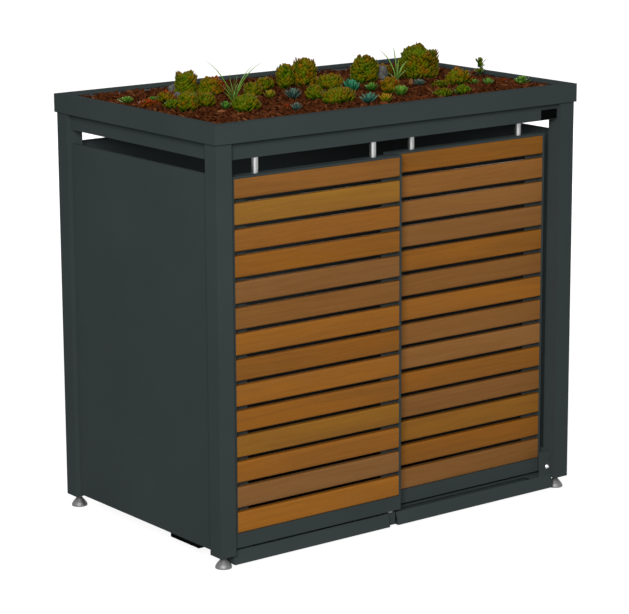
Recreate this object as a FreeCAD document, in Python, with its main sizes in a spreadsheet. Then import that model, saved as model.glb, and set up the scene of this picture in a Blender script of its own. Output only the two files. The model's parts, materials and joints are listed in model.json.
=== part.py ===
import FreeCAD, Part
import Sketcher
import os
import re

# Wheelie bin store with a planted roof and two sliding slatted doors.
# Millimetres. X runs along the front from left to right, Y from front to back, Z up.
# The origin is on the ground, under the middle of the roof.

doc = FreeCAD.newDocument("wheelie_bin_store")
sizes = doc.addObject("Spreadsheet::Sheet", "sizes")

VALUES = (
    ("overall_width", 1382, "width over the posts"),
    ("overall_depth", 844, "depth over the posts"),
    ("rim_height", 1320, "ground to the top of the roof rim"),
    ("rim_overhang", 6, "rim proud of the posts all round"),
    ("fascia_height", 57, "height of the roof fascia"),
    ("fascia_sheet", 1.5, "thickness of the fascia sheet"),
    ("fascia_flange", 30, "width of the flat rim on top"),
    ("fascia_lip", 9, "turned-down inner edge of the rim"),
    ("fascia_foot", 38, "inward fold that lies on the frame"),
    ("post_size", 55, "square post, outside"),
    ("post_wall", 2, "wall of a post"),
    ("post_lift", 37, "ground to the underside of a post"),
    ("post_plate", 6, "threaded plate in the foot of a post"),
    ("rail_height", 51, "height of the top rails and the header"),
    ("rail_wall", 2, "wall of the top and bottom rails"),
    ("panel_recess", 16, "panels and top rails set back from the posts"),
    ("panel_sheet", 1.5, "thickness of the panel sheet"),
    ("panel_lift", 44, "ground to the underside of the panels"),
    ("panel_top_fold", 12, "width of the fold along the top of a panel"),
    ("vent_height", 42.5, "ventilation gap above the panels"),
    ("bottom_rail_height", 30, "height of the bottom rails"),
    ("header_recess", 15, "header set back from the posts"),
    ("header_wall", 2, "wall of the header channel"),
    ("track_side_gap", 0.4, "end of a wheel axle to the wall of its track"),
    ("track_headroom", 4.2, "top of a wheel to the top of its track"),
    ("track_wall", 2, "wall of a door track"),
    ("track_slot", 12, "slot in the underside of a track"),
    ("wheel_diameter", 30, "carriage wheel"),
    ("wheel_width", 4, "width of a carriage wheel"),
    ("wheel_gap", 0.3, "wheel above the track lip"),
    ("wheel_side_gap", 1.5, "wheel to the side of its carriage"),
    ("axle_diameter", 5, "wheel axle"),
    ("axle_clearance", 0.05, "radial clearance of a wheel on its axle"),
    ("axle_end", 0.1, "axle proud of the wheel"),
    ("carriage_length", 44, "carriage along the track"),
    ("carriage_width", 10, "carriage across the track"),
    ("carriage_height", 22, "height of a carriage"),
    ("carriage_lift", 2.5, "carriage above the track lips"),
    ("rod_diameter", 20, "round hanger rod"),
    ("rod_gap", 3, "top of a rod below the track"),
    ("stud_diameter", 8, "stud from the rod into the carriage"),
    ("hanger_inset", 95.8, "hanger from the side of its door"),
    ("door_head_gap", 48.5, "top of the doors below the header"),
    ("door_foot_gap", 9, "underside of the doors above the threshold"),
    ("door_recess", 10, "front door behind the front of the posts"),
    ("door_depth", 36, "depth of a door"),
    ("door_gap", 6, "front door to rear door"),
    ("door_sheet", 1.5, "thickness of the door sheet"),
    ("door_lip", 7, "side lip in front of the slat ends"),
    ("door_top_lip", 5, "lip in front of the top slat"),
    ("door_back_lip", 15, "lips at the back of the door frame"),
    ("door_base_height", 43.6, "height of the bottom rail of a door"),
    ("door_overlap", 8.5, "overlap of the doors in the middle"),
    ("left_gap", 7, "left door to the left post"),
    ("right_gap", 19.5, "right door to the right post"),
    ("slat_gap", 12.55, "gap between two slats"),
    ("slat_thickness", 20, "thickness of a slat"),
    ("slat_bevel", 5, "bevel on the front edges of a slat"),
    ("slat_end_gap", 0.5, "slat end to the door frame"),
    ("slat_count", 14, "slats in a door"),
    ("strip_width", 60, "upright strip behind the slat ends"),
    ("strip_sheet", 2, "thickness of the upright strip"),
    ("slat_screw", 4, "diameter of a slat screw"),
    ("slat_screw_grip", 14, "slat screw in the wood"),
    ("slat_screw_head", 8, "head of a slat screw"),
    ("slat_screw_cap", 2.4, "height of the head of a slat screw"),
    ("screw_clearance", 0.2, "radial clearance of a screw in sheet"),
    ("guide_slot", 12, "slot under a door for its guide fin"),
    ("guide_fin", 8, "thickness of a guide fin"),
    ("fin_length", 16, "length of a guide fin"),
    ("fin_height", 21, "guide fin above the threshold"),
    ("front_fin_offset", 28, "front fin from the right side of the left door"),
    ("rear_fin_offset", 30.5, "rear fin from the left side of the right door"),
    ("threshold_recess", 18, "threshold behind the front of the posts"),
    ("threshold_depth", 50, "depth of the threshold beam"),
    ("threshold_height", 40, "height of the threshold beam"),
    ("threshold_toe", 11, "foot of the threshold's sloping front ahead of its top"),
    ("threshold_lift", 6, "ground to the underside of the threshold"),
    ("threshold_wall", 2, "wall of the threshold beam"),
    ("threshold_gap", 32, "gap between the threshold beams"),
    ("threshold_slot", 30, "width of the long slot in the top of the threshold"),
    ("threshold_slot_end", 30, "end of the slot to the stop lug"),
    ("guide_block_recess", 4, "guide block behind the threshold front"),
    ("guide_arm_rim", 4, "guide arm behind the rear fin"),
    ("guide_arm_height", 20, "height of the guide arm"),
    ("lug_sheet", 3, "thickness of the stop lugs"),
    ("lug_height", 82, "stop lugs above the threshold"),
    ("right_lug_width", 51.5, "width of the stop lug on the right"),
    ("left_lug_width", 44, "width of the stop lug on the left"),
    ("stop_clearance", 0.5, "gap left at a stop"),
    ("stop_reserve", 2, "track stop beyond the stop lug"),
    ("stop_length", 20, "length of a track stop"),
    ("stop_height", 25, "height of a track stop"),
    ("lug_bolt", 8, "diameter of the lug bolts"),
    ("lug_bolt_head", 16, "head of a lug bolt"),
    ("lug_bolt_dome", 6, "height of the head of a lug bolt"),
    ("lug_bolt_side", 18, "lug bolt from the post"),
    ("lug_bolt_lift", 31, "lug bolt above the threshold"),
    ("lug_nut_width", 13, "nut of a lug bolt across the flats"),
    ("lug_nut_height", 6.5, "height of the nut of a lug bolt"),
    ("panel_screw", 6, "diameter of the panel screws"),
    ("panel_screw_head", 12, "head of a panel screw"),
    ("panel_screw_cap", 3, "height of the head of a panel screw"),
    ("panel_screw_length", 12, "length of a panel screw"),
    ("panel_screw_inset", 20, "panel screw from the face of the panel"),
    ("panel_screw_margin", 110, "end screws from the ends of the panel"),
    ("anchor_length", 147, "length of a ground anchor"),
    ("anchor_start", 138, "ground anchor from the front"),
    ("anchor_seat", 36, "width of a ground anchor under the panel"),
    ("anchor_reach", 66, "ground anchor from the face of the panel inwards"),
    ("anchor_height", 12, "height of a ground anchor"),
    ("anchor_sheet", 3, "thickness of a ground anchor"),
    ("anchor_hole", 11, "hole for a ground bolt"),
    ("anchor_hole_inset", 12, "hole from the inner edge of the anchor"),
    ("foot_diameter", 50, "levelling foot"),
    ("foot_edge", 5, "straight edge of the foot"),
    ("foot_shoulder", 42, "diameter where the dome of the foot gets steeper"),
    ("foot_shoulder_height", 7, "height of the lower slope of the dome"),
    ("foot_dome", 16, "height of the upper slope of the dome"),
    ("foot_neck", 16, "diameter at the top of the foot"),
    ("foot_stud", 10, "stud of a levelling foot"),
    ("foot_stud_reach", 38, "stud above the underside of the post"),
    ("foot_clearance", 0.05, "radial clearance of the stud in its thread"),
    ("lock_nut_width", 17, "lock nut across the flats"),
    ("lock_nut_height", 8, "height of a lock nut"),
    ("crossbar_width", 40, "width of a roof crossbar"),
    ("crossbar_height", 30, "height of a roof crossbar"),
    ("crossbar_spacing", 340, "crossbar to crossbar"),
    ("tray_gap", 0.5, "tray to the fascia"),
    ("tray_sheet", 1.5, "thickness of the tray sheet"),
    ("mat_thickness", 5, "drainage mat"),
    ("mulch_drop", 12, "top of the mulch below the rim"),
    ("mulch_thickness", 12, "layer of bark mulch"),
    ("planted_width", 1387, "width of the bed that the plants are sized for"),
    ("planted_depth", 849, "depth of the bed that the plants are sized for"),
    ("plate_width", 66, "bare plate on the header"),
    ("plate_height", 31, "height of the bare plate"),
    ("plate_sheet", 1, "thickness of the bare plate"),
    ("plate_side_gap", 4, "bare plate to the right post"),
    ("plate_base_gap", 2, "bare plate above the lower edge of the header"),
)

for row, (alias, value, meaning) in enumerate(VALUES, start=1):
    sizes.set("A%d" % row, meaning)
    sizes.set("B%d" % row, str(value))
    sizes.setAlias("B%d" % row, alias)
doc.recompute()

# Rules that follow from the sizes. Each one is written once and used by name.
RULES = {
    "front": "-overall_depth / 2",
    "half_width": "overall_width / 2",
    "half_depth": "overall_depth / 2",
    "roof_half_width": "half_width + rim_overhang",
    "roof_half_depth": "half_depth + rim_overhang",
    "frame_top": "rim_height - fascia_height",
    "inner_half_width": "half_width - post_size",
    "inner_half_depth": "half_depth - post_size",
    "rail_base": "frame_top - rail_height",
    "rail_depth": "post_size - panel_recess",
    "panel_fold": "rail_depth",
    "panel_top": "rail_base - vent_height",
    "panel_height": "panel_top - panel_lift",
    "panel_half_width": "half_width - panel_recess",
    "panel_half_depth": "half_depth - panel_recess",
    "track_width": "2 * (track_wall + axle_half + track_side_gap)",
    "track_height": "2 * track_wall + wheel_gap + wheel_diameter + track_headroom",
    "track_pitch": "door_depth + door_gap",
    "header_depth": "track_pitch + track_width + 2 * header_wall",
    "header_front": "front + header_recess",
    "track_front": "header_front + header_wall",
    "track_base": "frame_top - header_wall - track_height",
    "track_lip": "(track_width - track_slot) / 2",
    "lip_top": "track_base + track_wall",
    "front_line": "track_front + track_width / 2",
    "axle_height": "lip_top + wheel_gap + wheel_diameter / 2",
    "carriage_base": "lip_top + carriage_lift",
    "wheel_offset": "carriage_width / 2 + wheel_side_gap",
    "axle_half": "wheel_offset + wheel_width + axle_end",
    "door_lift": "threshold_top + door_foot_gap",
    "door_top": "rail_base - door_head_gap",
    "door_width": "(2 * inner_half_width - left_gap - right_gap + door_overlap) / 2",
    "left_door_x": "-inner_half_width + left_gap",
    "right_door_x": "inner_half_width - right_gap - door_width",
    "front_door_y": "front + door_recess",
    "rear_door_y": "front_door_y + track_pitch",
    "slat_base": "door_lift + door_base_height",
    "slat_room": "door_top - door_sheet - slat_base",
    "slat_height": "(slat_room - (slat_count - 1) * slat_gap) / slat_count",
    "slat_pitch": "slat_height + slat_gap",
    "threshold_y": "front + threshold_recess",
    "threshold_top": "threshold_lift + threshold_height",
    "front_fin_x": "left_door_x + door_width - front_fin_offset",
    "rear_fin_x": "right_door_x + rear_fin_offset",
    "left_beam_end": "front_fin_x - threshold_gap / 2",
    "right_beam_end": "front_fin_x + threshold_gap / 2",
    "front_fin_y": "front_door_y + door_depth / 2",
    "rear_fin_y": "rear_door_y + door_depth / 2",
    "arm_start": "threshold_y + threshold_depth",
    "arm_end": "rear_fin_y + guide_fin / 2 + guide_arm_rim",
    "guide_arm_depth": "max(arm_end - arm_start; guide_arm_rim)",
    "left_travel": "inner_half_width - right_lug_width - stop_clearance - left_door_x - door_width",
    "right_travel": "right_door_x + inner_half_width - left_lug_width - stop_clearance",
    "post_middle_x": "half_width - post_size / 2",
    "post_middle_y": "half_depth - post_size / 2",
    "tray_base": "frame_top + fascia_sheet",
    "tray_floor": "tray_base + tray_sheet",
    "tray_half_width": "roof_half_width - fascia_sheet - tray_gap",
    "tray_half_depth": "roof_half_depth - fascia_sheet - tray_gap",
    "bed_half_width": "tray_half_width - tray_sheet",
    "bed_half_depth": "tray_half_depth - tray_sheet",
    "mulch_top": "rim_height - mulch_drop",
    "mulch_base": "mulch_top - mulch_thickness",
    "plant_x": "2 * bed_half_width / planted_width",
    "plant_y": "2 * bed_half_depth / planted_depth",
    "plant_round": "min(plant_x; plant_y)",
}


def formula(text):
    """Write a rule in plain names as one that reads the sheet."""
    def swap(match):
        word = match.group(0)
        if word in ("min", "max"):
            return word
        if word in RULES:
            return "(" + formula(RULES[word]) + ")"
        return "sizes." + word
    return re.sub(r"[a-z_]+", swap, text)


def bind(thing, path, rule):
    thing.setExpression(path, formula(rule))


def place(thing, x, y, z):
    bind(thing, "Placement.Base.x", x)
    bind(thing, "Placement.Base.y", y)
    bind(thing, "Placement.Base.z", z)
    return thing


def box(name, x, y, z, length, width, height):
    piece = doc.addObject("Part::Box", name)
    bind(piece, "Length", length)
    bind(piece, "Width", width)
    bind(piece, "Height", height)
    return place(piece, x, y, z)


TURNS = {
    "z": FreeCAD.Rotation(),
    "y": FreeCAD.Rotation(FreeCAD.Vector(1, 0, 0), -90),
    "x": FreeCAD.Rotation(FreeCAD.Vector(0, 1, 0), 90),
}


def rod(name, axis, x, y, z, radius, length):
    piece = doc.addObject("Part::Cylinder", name)
    piece.Placement.Rotation = TURNS[axis]
    bind(piece, "Radius", radius)
    bind(piece, "Height", length)
    return place(piece, x, y, z)


def taper(name, axis, x, y, z, low_radius, high_radius, length):
    piece = doc.addObject("Part::Cone", name)
    piece.Placement.Rotation = TURNS[axis]
    bind(piece, "Radius1", low_radius)
    bind(piece, "Radius2", high_radius)
    bind(piece, "Height", length)
    return place(piece, x, y, z)


def nut(name, axis, x, y, z, width, height):
    piece = doc.addObject("Part::Prism", name)
    piece.Polygon = 6
    piece.Placement.Rotation = TURNS[axis]
    bind(piece, "Circumradius", width + " / 1.7320508")
    bind(piece, "Height", height)
    return place(piece, x, y, z)


def fuse(name, pieces):
    joined = doc.addObject("Part::MultiFuse", name)
    joined.Shapes = pieces
    joined.Refine = True
    return joined


def cut(name, base, tools):
    """Take one tool, or several joined ones, away from a base."""
    piece = doc.addObject("Part::Cut", name)
    piece.Base = base
    if len(tools) == 1:
        piece.Tool = tools[0]
    else:
        piece.Tool = fuse(name + "_tools", tools)
    return piece


def tube(name, along, x, y, z, length, width, height, wall):
    """Rectangular tube, open at both ends along X or Y."""
    outer = box(name + "_outer", x, y, z, length, width, height)
    twice = " - 2 * " + wall
    if along == "x":
        inner = box(name + "_inner", x, y + " + " + wall, z + " + " + wall,
                    length, width + twice, height + twice)
    else:
        inner = box(name + "_inner", x + " + " + wall, y, z + " + " + wall,
                    length + twice, width, height + twice)
    return cut(name, outer, [inner])


STEPS = {"right": (1, 0), "left": (-1, 0), "up": (0, 1), "down": (0, -1)}
SWAPPED = {"right": "left", "left": "right", "up": "up", "down": "down"}
PLANES = {"along_z": "XY_Plane", "along_y": "XZ_Plane", "along_x": "YZ_Plane"}


def origin_part(body, role):
    for feature in body.Origin.OriginFeatures:
        if feature.Role == role:
            return feature
    raise ValueError(role)


def square_outline(sketch, moves):
    """Closed outline of upright and level edges that starts at the sketch origin.

    The last two edges close it, so their lengths follow from the others.
    """
    point = FreeCAD.Vector(0, 0, 0)
    count = len(moves)
    for index, (way, rule) in enumerate(moves):
        step = FreeCAD.Vector(STEPS[way][0], STEPS[way][1], 0) * 10
        end = point + step
        if index == count - 1:
            end = FreeCAD.Vector(0, 0, 0)
        sketch.addGeometry(Part.LineSegment(point, end), False)
        point = end
    for index in range(count):
        sketch.addConstraint(Sketcher.Constraint("Coincident", index, 2, (index + 1) % count, 1))
    sketch.addConstraint(Sketcher.Constraint("Coincident", 0, 1, -1, 1))
    for index, (way, rule) in enumerate(moves):
        level = way in ("left", "right")
        sketch.addConstraint(Sketcher.Constraint("Horizontal" if level else "Vertical", index))
        if rule is None:
            continue
        kind = "DistanceX" if level else "DistanceY"
        ends = (1, 2) if way in ("right", "up") else (2, 1)
        number = sketch.addConstraint(
            Sketcher.Constraint(kind, index, ends[0], index, ends[1], 10))
        sketch.renameConstraint(number, "edge%s" % "abcdefghijklmnop"[index])
        bind(sketch, "Constraints.edge%s" % "abcdefghijklmnop"[index], rule)


def mirrored(moves):
    return tuple((SWAPPED[way], rule) for way, rule in moves)


def new_sketch(body, name, direction):
    sketch = body.newObject("Sketcher::SketchObject", name)
    sketch.AttachmentSupport = (origin_part(body, PLANES[direction]), [""])
    sketch.MapMode = "FlatFace"
    return sketch


def folded(name, direction, moves, length):
    """Folded sheet or drawn section: a square outline padded along one axis."""
    body = doc.addObject("PartDesign::Body", name)
    sketch = new_sketch(body, name + "_section", direction)
    square_outline(sketch, moves)
    pad = body.newObject("PartDesign::Pad", name + "_pad")
    pad.Profile = sketch
    bind(pad, "Length", length)
    pad.Reversed = direction == "along_y"
    sketch.Visibility = False
    body.Tip = pad
    return body


def slotted_channel(name, width, height, wall, slot, length):
    """Channel along X with a slot in its underside."""
    lip = "(%s - %s) / 2" % (width, slot)
    moves = (
        ("up", height),
        ("right", width),
        ("down", height),
        ("left", lip),
        ("up", wall),
        ("right", "%s - %s" % (lip, wall)),
        ("up", "%s - 2 * %s" % (height, wall)),
        ("left", "%s - 2 * %s" % (width, wall)),
        ("down", "%s - 2 * %s" % (height, wall)),
        ("right", "%s - %s" % (lip, wall)),
        ("down", None),
        ("left", None),
    )
    return folded(name, "along_x", moves, length)


nodes = []


def node(label, solids):
    """Give a finished sub-part its name. Several solids share one compound."""
    if len(solids) == 1:
        piece = solids[0]
    else:
        piece = doc.addObject("Part::Compound", label + "_set")
        piece.Links = solids
    piece.Label = label
    nodes.append(piece)
    return piece


# Panel screws. They pass through the side folds of the panels into the posts.
PANEL_SCREW_HEIGHTS = (
    ("low", "panel_lift + panel_screw_margin"),
    ("mid", "(panel_lift + panel_top) / 2"),
    ("high", "panel_top - panel_screw_margin"),
)


def panel_screw_spots(side):
    """Screws of one panel: name, post, axis, point on the fold face, way to the post."""
    spots = []
    for level, height in PANEL_SCREW_HEIGHTS:
        if side == "back":
            for hand, sign in (("left", "-"), ("right", "")):
                spots.append((
                    "back_%s_%s" % (hand, level), "back_" + hand, "x",
                    sign + "(inner_half_width - panel_sheet)",
                    "panel_half_depth - panel_screw_inset", height, sign))
        else:
            sign = "-" if side == "left" else ""
            for end, way in (("front", "-"), ("back", "")):
                spots.append((
                    "%s_%s_%s" % (side, end, level), end + "_" + side, "y",
                    sign + "(panel_half_width - panel_screw_inset)",
                    way + "(inner_half_depth - panel_sheet)", height, way))
    return spots


def along(axis, x, y, back, ahead, sign):
    """Start of a run along X or Y that ends ahead of a point in the way of the sign."""
    shift = " - (%s)" % (ahead if sign == "-" else back)
    if axis == "x":
        return x + shift, y
    return x, y + shift


def panel_screw(spot):
    name, post, axis, x, y, height, sign = spot
    head_x, head_y = along(axis, x, y, "panel_screw_cap", "0 * panel_screw_cap", sign)
    body_x, body_y = along(axis, x, y, "0 * panel_screw", "panel_screw_length", sign)
    head = rod("screw_head_" + name, axis, head_x, head_y, height,
               "panel_screw_head / 2", "panel_screw_cap")
    body = rod("screw_body_" + name, axis, body_x, body_y, height,
               "panel_screw / 2", "panel_screw_length")
    return fuse("panel_screw_" + name, [head, body])


def panel_screw_hole(spot, use):
    name, post, axis, x, y, height, sign = spot
    reach = "(panel_screw_length + panel_sheet)"
    start_x, start_y = along(axis, x, y, "panel_sheet", reach, sign)
    length = "panel_screw_length + 2 * panel_sheet"
    return rod("hole_%s_%s" % (use, name), axis, start_x, start_y, height,
               "panel_screw / 2 + screw_clearance", length)


spots = panel_screw_spots("left") + panel_screw_spots("right") + panel_screw_spots("back")

# Posts: square tubes with a capped top and a threaded plate in the foot.
for end, y_sign in (("front", "-"), ("back", "")):
    for hand, x_sign in (("left", "-"), ("right", "")):
        place_name = "%s_%s" % (end, hand)
        corner_x = "-half_width" if x_sign else "inner_half_width"
        corner_y = "-half_depth" if y_sign else "inner_half_depth"
        shell = box("post_shell_" + place_name, corner_x, corner_y, "post_lift",
                    "post_size", "post_size", "frame_top - post_lift")
        core = box("post_core_" + place_name, corner_x + " + post_wall",
                   corner_y + " + post_wall", "post_lift + post_plate",
                   "post_size - 2 * post_wall", "post_size - 2 * post_wall",
                   "frame_top - post_lift - post_plate - post_wall")
        thread = rod("post_thread_" + place_name, "z", x_sign + "post_middle_x",
                     y_sign + "post_middle_y", "post_lift - post_plate",
                     "foot_stud / 2 + foot_clearance", "3 * post_plate")
        holes = [panel_screw_hole(spot, "post") for spot in spots if spot[1] == place_name]
        node("post_" + place_name,
             [cut("post_" + place_name, shell, [core, thread] + holes)])


# Panels: one sheet each with its four edges folded inwards. The top fold is the narrow one.
def panel(side, corner, size, hollow, hollow_size, trim):
    shell = box("panel_shell_" + side, *corner, "panel_lift", *size, "panel_height")
    core = box("panel_core_" + side, *hollow, "panel_lift + panel_sheet", *hollow_size,
               "panel_height - 2 * panel_sheet")
    slot = box("panel_slot_" + side, *trim, "panel_top - 2 * panel_sheet", *hollow_size,
               "3 * panel_sheet")
    holes = [panel_screw_hole(spot, "panel") for spot in panel_screw_spots(side)]
    label = "back_panel" if side == "back" else "side_panel_" + side
    node(label, [cut(label, shell, [core, slot] + holes)])


SIDE_SIZE = ("panel_fold", "2 * inner_half_depth")
SIDE_HOLLOW = ("panel_fold", "2 * inner_half_depth - 2 * panel_sheet")
SIDE_START = "-inner_half_depth + panel_sheet"
panel("left", ("-panel_half_width", "-inner_half_depth"), SIDE_SIZE,
      ("-panel_half_width + panel_sheet", SIDE_START), SIDE_HOLLOW,
      ("-panel_half_width + panel_top_fold", SIDE_START))
panel("right", ("panel_half_width - panel_fold", "-inner_half_depth"), SIDE_SIZE,
      ("panel_half_width - panel_sheet - panel_fold", SIDE_START), SIDE_HOLLOW,
      ("panel_half_width - panel_top_fold - panel_fold", SIDE_START))
panel("back", ("-inner_half_width", "panel_half_depth - panel_fold"),
      ("2 * inner_half_width", "panel_fold"),
      ("-inner_half_width + panel_sheet", "panel_half_depth - panel_sheet - panel_fold"),
      ("2 * inner_half_width - 2 * panel_sheet", "panel_fold"),
      ("-inner_half_width + panel_sheet", "panel_half_depth - panel_top_fold - panel_fold"))

# Top rails above the ventilation gap, and bottom rails in the folds of the panels.
node("top_rail_left", [tube(
    "top_rail_left", "y", "-panel_half_width", "-inner_half_depth", "rail_base",
    "rail_depth", "2 * inner_half_depth", "rail_height", "rail_wall")])
node("top_rail_right", [tube(
    "top_rail_right", "y", "inner_half_width", "-inner_half_depth", "rail_base",
    "rail_depth", "2 * inner_half_depth", "rail_height", "rail_wall")])
node("top_rail_back", [tube(
    "top_rail_back", "x", "-inner_half_width", "inner_half_depth", "rail_base",
    "2 * inner_half_width", "rail_depth", "rail_height", "rail_wall")])
LOW = "panel_lift + panel_sheet"
SLIM = "panel_fold - panel_sheet"
node("bottom_rail_left", [tube(
    "bottom_rail_left", "y", "-panel_half_width + panel_sheet", "-inner_half_depth + panel_sheet",
    LOW, SLIM, "2 * inner_half_depth - 2 * panel_sheet", "bottom_rail_height", "rail_wall")])
node("bottom_rail_right", [tube(
    "bottom_rail_right", "y", "panel_half_width - panel_fold", "-inner_half_depth + panel_sheet",
    LOW, SLIM, "2 * inner_half_depth - 2 * panel_sheet", "bottom_rail_height", "rail_wall")])
node("bottom_rail_back", [tube(
    "bottom_rail_back", "x", "-inner_half_width + panel_sheet", "panel_half_depth - panel_fold",
    LOW, "2 * inner_half_width - 2 * panel_sheet", SLIM, "bottom_rail_height", "rail_wall")])

# Header over the doors: an inverted channel that carries the two door tracks.
header = folded("header_channel", "along_x", (
    ("up", "rail_height"),
    ("right", "header_depth"),
    ("down", "rail_height"),
    ("left", "header_wall"),
    ("up", "rail_height - header_wall"),
    ("left", "header_depth - 2 * header_wall"),
    ("down", None),
    ("left", None),
), "2 * inner_half_width")
place(header, "-inner_half_width", "header_front", "rail_base")
node("header_channel", [header])

for level, start in (("front", "track_front"), ("rear", "track_front + track_pitch")):
    track = slotted_channel("door_track_" + level, "track_width", "track_height", "track_wall",
                            "track_slot", "2 * inner_half_width")
    place(track, "-inner_half_width", start, "track_base")
    node("door_track_" + level, [track])

# Stops in the tracks, at both ends of the travel of each pair of carriages.
STOP_SPOTS = (
    ("front_closed", "left_door_x + hanger_inset - carriage_length / 2 - stop_clearance - stop_length",
     "track_front"),
    ("front_open", "left_door_x + door_width - hanger_inset + carriage_length / 2 + left_travel"
     " + stop_reserve", "track_front"),
    ("rear_closed", "right_door_x + door_width - hanger_inset + carriage_length / 2"
     " + stop_clearance", "track_front + track_pitch"),
    ("rear_open", "right_door_x + hanger_inset - carriage_length / 2 - right_travel"
     " - stop_reserve - stop_length", "track_front + track_pitch"),
)
node("track_end_stops", [
    box("stop_" + name, x, y + " + track_wall", "lip_top", "stop_length",
        "track_width - 2 * track_wall", "stop_height")
    for name, x, y in STOP_SPOTS])

# Threshold beams in front of the store, each with an end plate and a stop lug.
LUG_BOLT_HEIGHT = "threshold_top + lug_bolt_lift"
LEFT_LUG_Y = "threshold_y + threshold_depth - lug_sheet"


def sill(name, x, length, wall):
    """Section of the threshold along X, less a wall. Its front slopes out to its foot."""
    piece = doc.addObject("Part::Wedge", name)
    piece.Placement.Rotation = FreeCAD.Rotation(FreeCAD.Vector(1, 0, 0), 90)
    piece.X2min = 0
    piece.Z2min = 0
    bind(piece, "Xmax", length)
    bind(piece, "X2max", length)
    bind(piece, "Ymax", "threshold_height - 2 * (%s)" % wall)
    slope = "threshold_toe * (%s) / threshold_height" % wall
    bind(piece, "Zmax", "threshold_depth + threshold_toe - %s - 2 * (%s)" % (slope, wall))
    bind(piece, "Z2max", "threshold_depth + %s - 2 * (%s)" % (slope, wall))
    return place(piece, x, "threshold_y + threshold_depth - (%s)" % wall,
                 "threshold_lift + %s" % wall)


def threshold(hand, beam_x, beam_length, slot_x, plate_x, lug_x, lug_y, lug_width, bolt_x):
    solid = "0 * threshold_wall"
    beam = cut("threshold_beam_" + hand, sill("threshold_outer_" + hand, beam_x, beam_length, solid),
               [sill("threshold_inner_" + hand, beam_x, beam_length, "threshold_wall")])
    end_cap = sill("threshold_cap_" + hand, plate_x, "lug_sheet", solid)
    end_plate = box("threshold_plate_" + hand, plate_x, "threshold_y", "threshold_lift",
                    "lug_sheet", "threshold_depth", "threshold_height + lug_height")
    lug = box("threshold_lug_" + hand, lug_x, lug_y, "threshold_top",
              lug_width, "lug_sheet", "lug_height")
    whole = fuse("threshold_whole_" + hand, [beam, end_cap, end_plate, lug])
    hole = rod("threshold_hole_" + hand, "y", bolt_x, lug_y + " - lug_sheet", LUG_BOLT_HEIGHT,
               "lug_bolt / 2 + screw_clearance", "3 * lug_sheet")
    slot = box("threshold_slot_" + hand, slot_x, "threshold_y + threshold_wall",
               "threshold_top - 1.5 * threshold_wall",
               "%s - threshold_slot_end - %s" % (beam_length, lug_width), "threshold_slot",
               "3 * threshold_wall")
    node("threshold_" + hand, [cut("threshold_" + hand, whole, [slot, hole])])


threshold("left", "-inner_half_width + lug_sheet",
          "left_beam_end + inner_half_width - lug_sheet",
          "-inner_half_width + lug_sheet + left_lug_width + threshold_slot_end",
          "-inner_half_width", "-inner_half_width", LEFT_LUG_Y, "left_lug_width",
          "-inner_half_width + lug_bolt_side")
threshold("right", "right_beam_end", "inner_half_width - lug_sheet - right_beam_end",
          "right_beam_end", "inner_half_width - lug_sheet", "inner_half_width - right_lug_width", "threshold_y",
          "right_lug_width", "inner_half_width - lug_bolt_side")


def lug_bolt(hand, x, y):
    """Bolt with a domed head in front of the lug and a nut behind it."""
    edge = rod("lug_bolt_edge_" + hand, "y", x, y + " - lug_bolt_dome / 3", LUG_BOLT_HEIGHT,
               "lug_bolt_head / 2", "lug_bolt_dome / 3")
    dome = taper("lug_bolt_dome_" + hand, "y", x, y + " - lug_bolt_dome", LUG_BOLT_HEIGHT,
                 "lug_bolt_head / 4", "lug_bolt_head / 2", "2 * lug_bolt_dome / 3")
    shank = rod("lug_bolt_shank_" + hand, "y", x, y, LUG_BOLT_HEIGHT, "lug_bolt / 2",
                "lug_sheet + lug_nut_height + screw_clearance")
    holder = nut("lug_nut_" + hand, "y", x, y + " + lug_sheet", LUG_BOLT_HEIGHT,
                 "lug_nut_width", "lug_nut_height")
    return fuse("lug_bolt_" + hand, [edge, dome, shank, holder])


node("threshold_bolts", [
    lug_bolt("left", "-inner_half_width + lug_bolt_side", LEFT_LUG_Y),
    lug_bolt("right", "inner_half_width - lug_bolt_side", "threshold_y")])

# Guide block between the threshold beams, with an arm behind the right beam for the rear fin.
block = box("guide_block_main", "left_beam_end", "threshold_y + guide_block_recess",
            "threshold_lift", "threshold_gap", "threshold_depth - guide_block_recess",
            "threshold_height")
arm = box("guide_block_arm", "left_beam_end", "arm_start",
          "threshold_top - guide_arm_height",
          "rear_fin_x + fin_length / 2 + lug_sheet - left_beam_end", "guide_arm_depth",
          "guide_arm_height")
node("centre_guide_block", [fuse("centre_guide_block", [block, arm])])


def fin(name, x, y):
    half = "guide_fin / 2"
    middle = box("fin_middle_" + name, x + " - fin_length / 2 + " + half, y + " - " + half,
                 "threshold_top", "fin_length - guide_fin", "guide_fin", "fin_height")
    ends = [rod("fin_end_%s_%s" % (name, side), "z",
                x + sign + "(fin_length - guide_fin) / 2", y, "threshold_top", half, "fin_height")
            for side, sign in (("left", " - "), ("right", " + "))]
    return fuse("fin_" + name, [middle] + ends)


node("door_guide_fins", [fin("front", "front_fin_x", "front_fin_y"),
                         fin("rear", "rear_fin_x", "rear_fin_y")])

# Ground anchors under the side panels: folded plates, each with a hole for a ground bolt.
ANCHOR = (
    ("right", "anchor_reach"),
    ("up", "anchor_sheet"),
    ("left", "anchor_reach - anchor_sheet"),
    ("up", "anchor_height - 2 * anchor_sheet"),
    ("right", "anchor_seat - anchor_sheet"),
    ("up", "anchor_sheet"),
    ("left", None),
    ("down", None),
)


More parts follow.
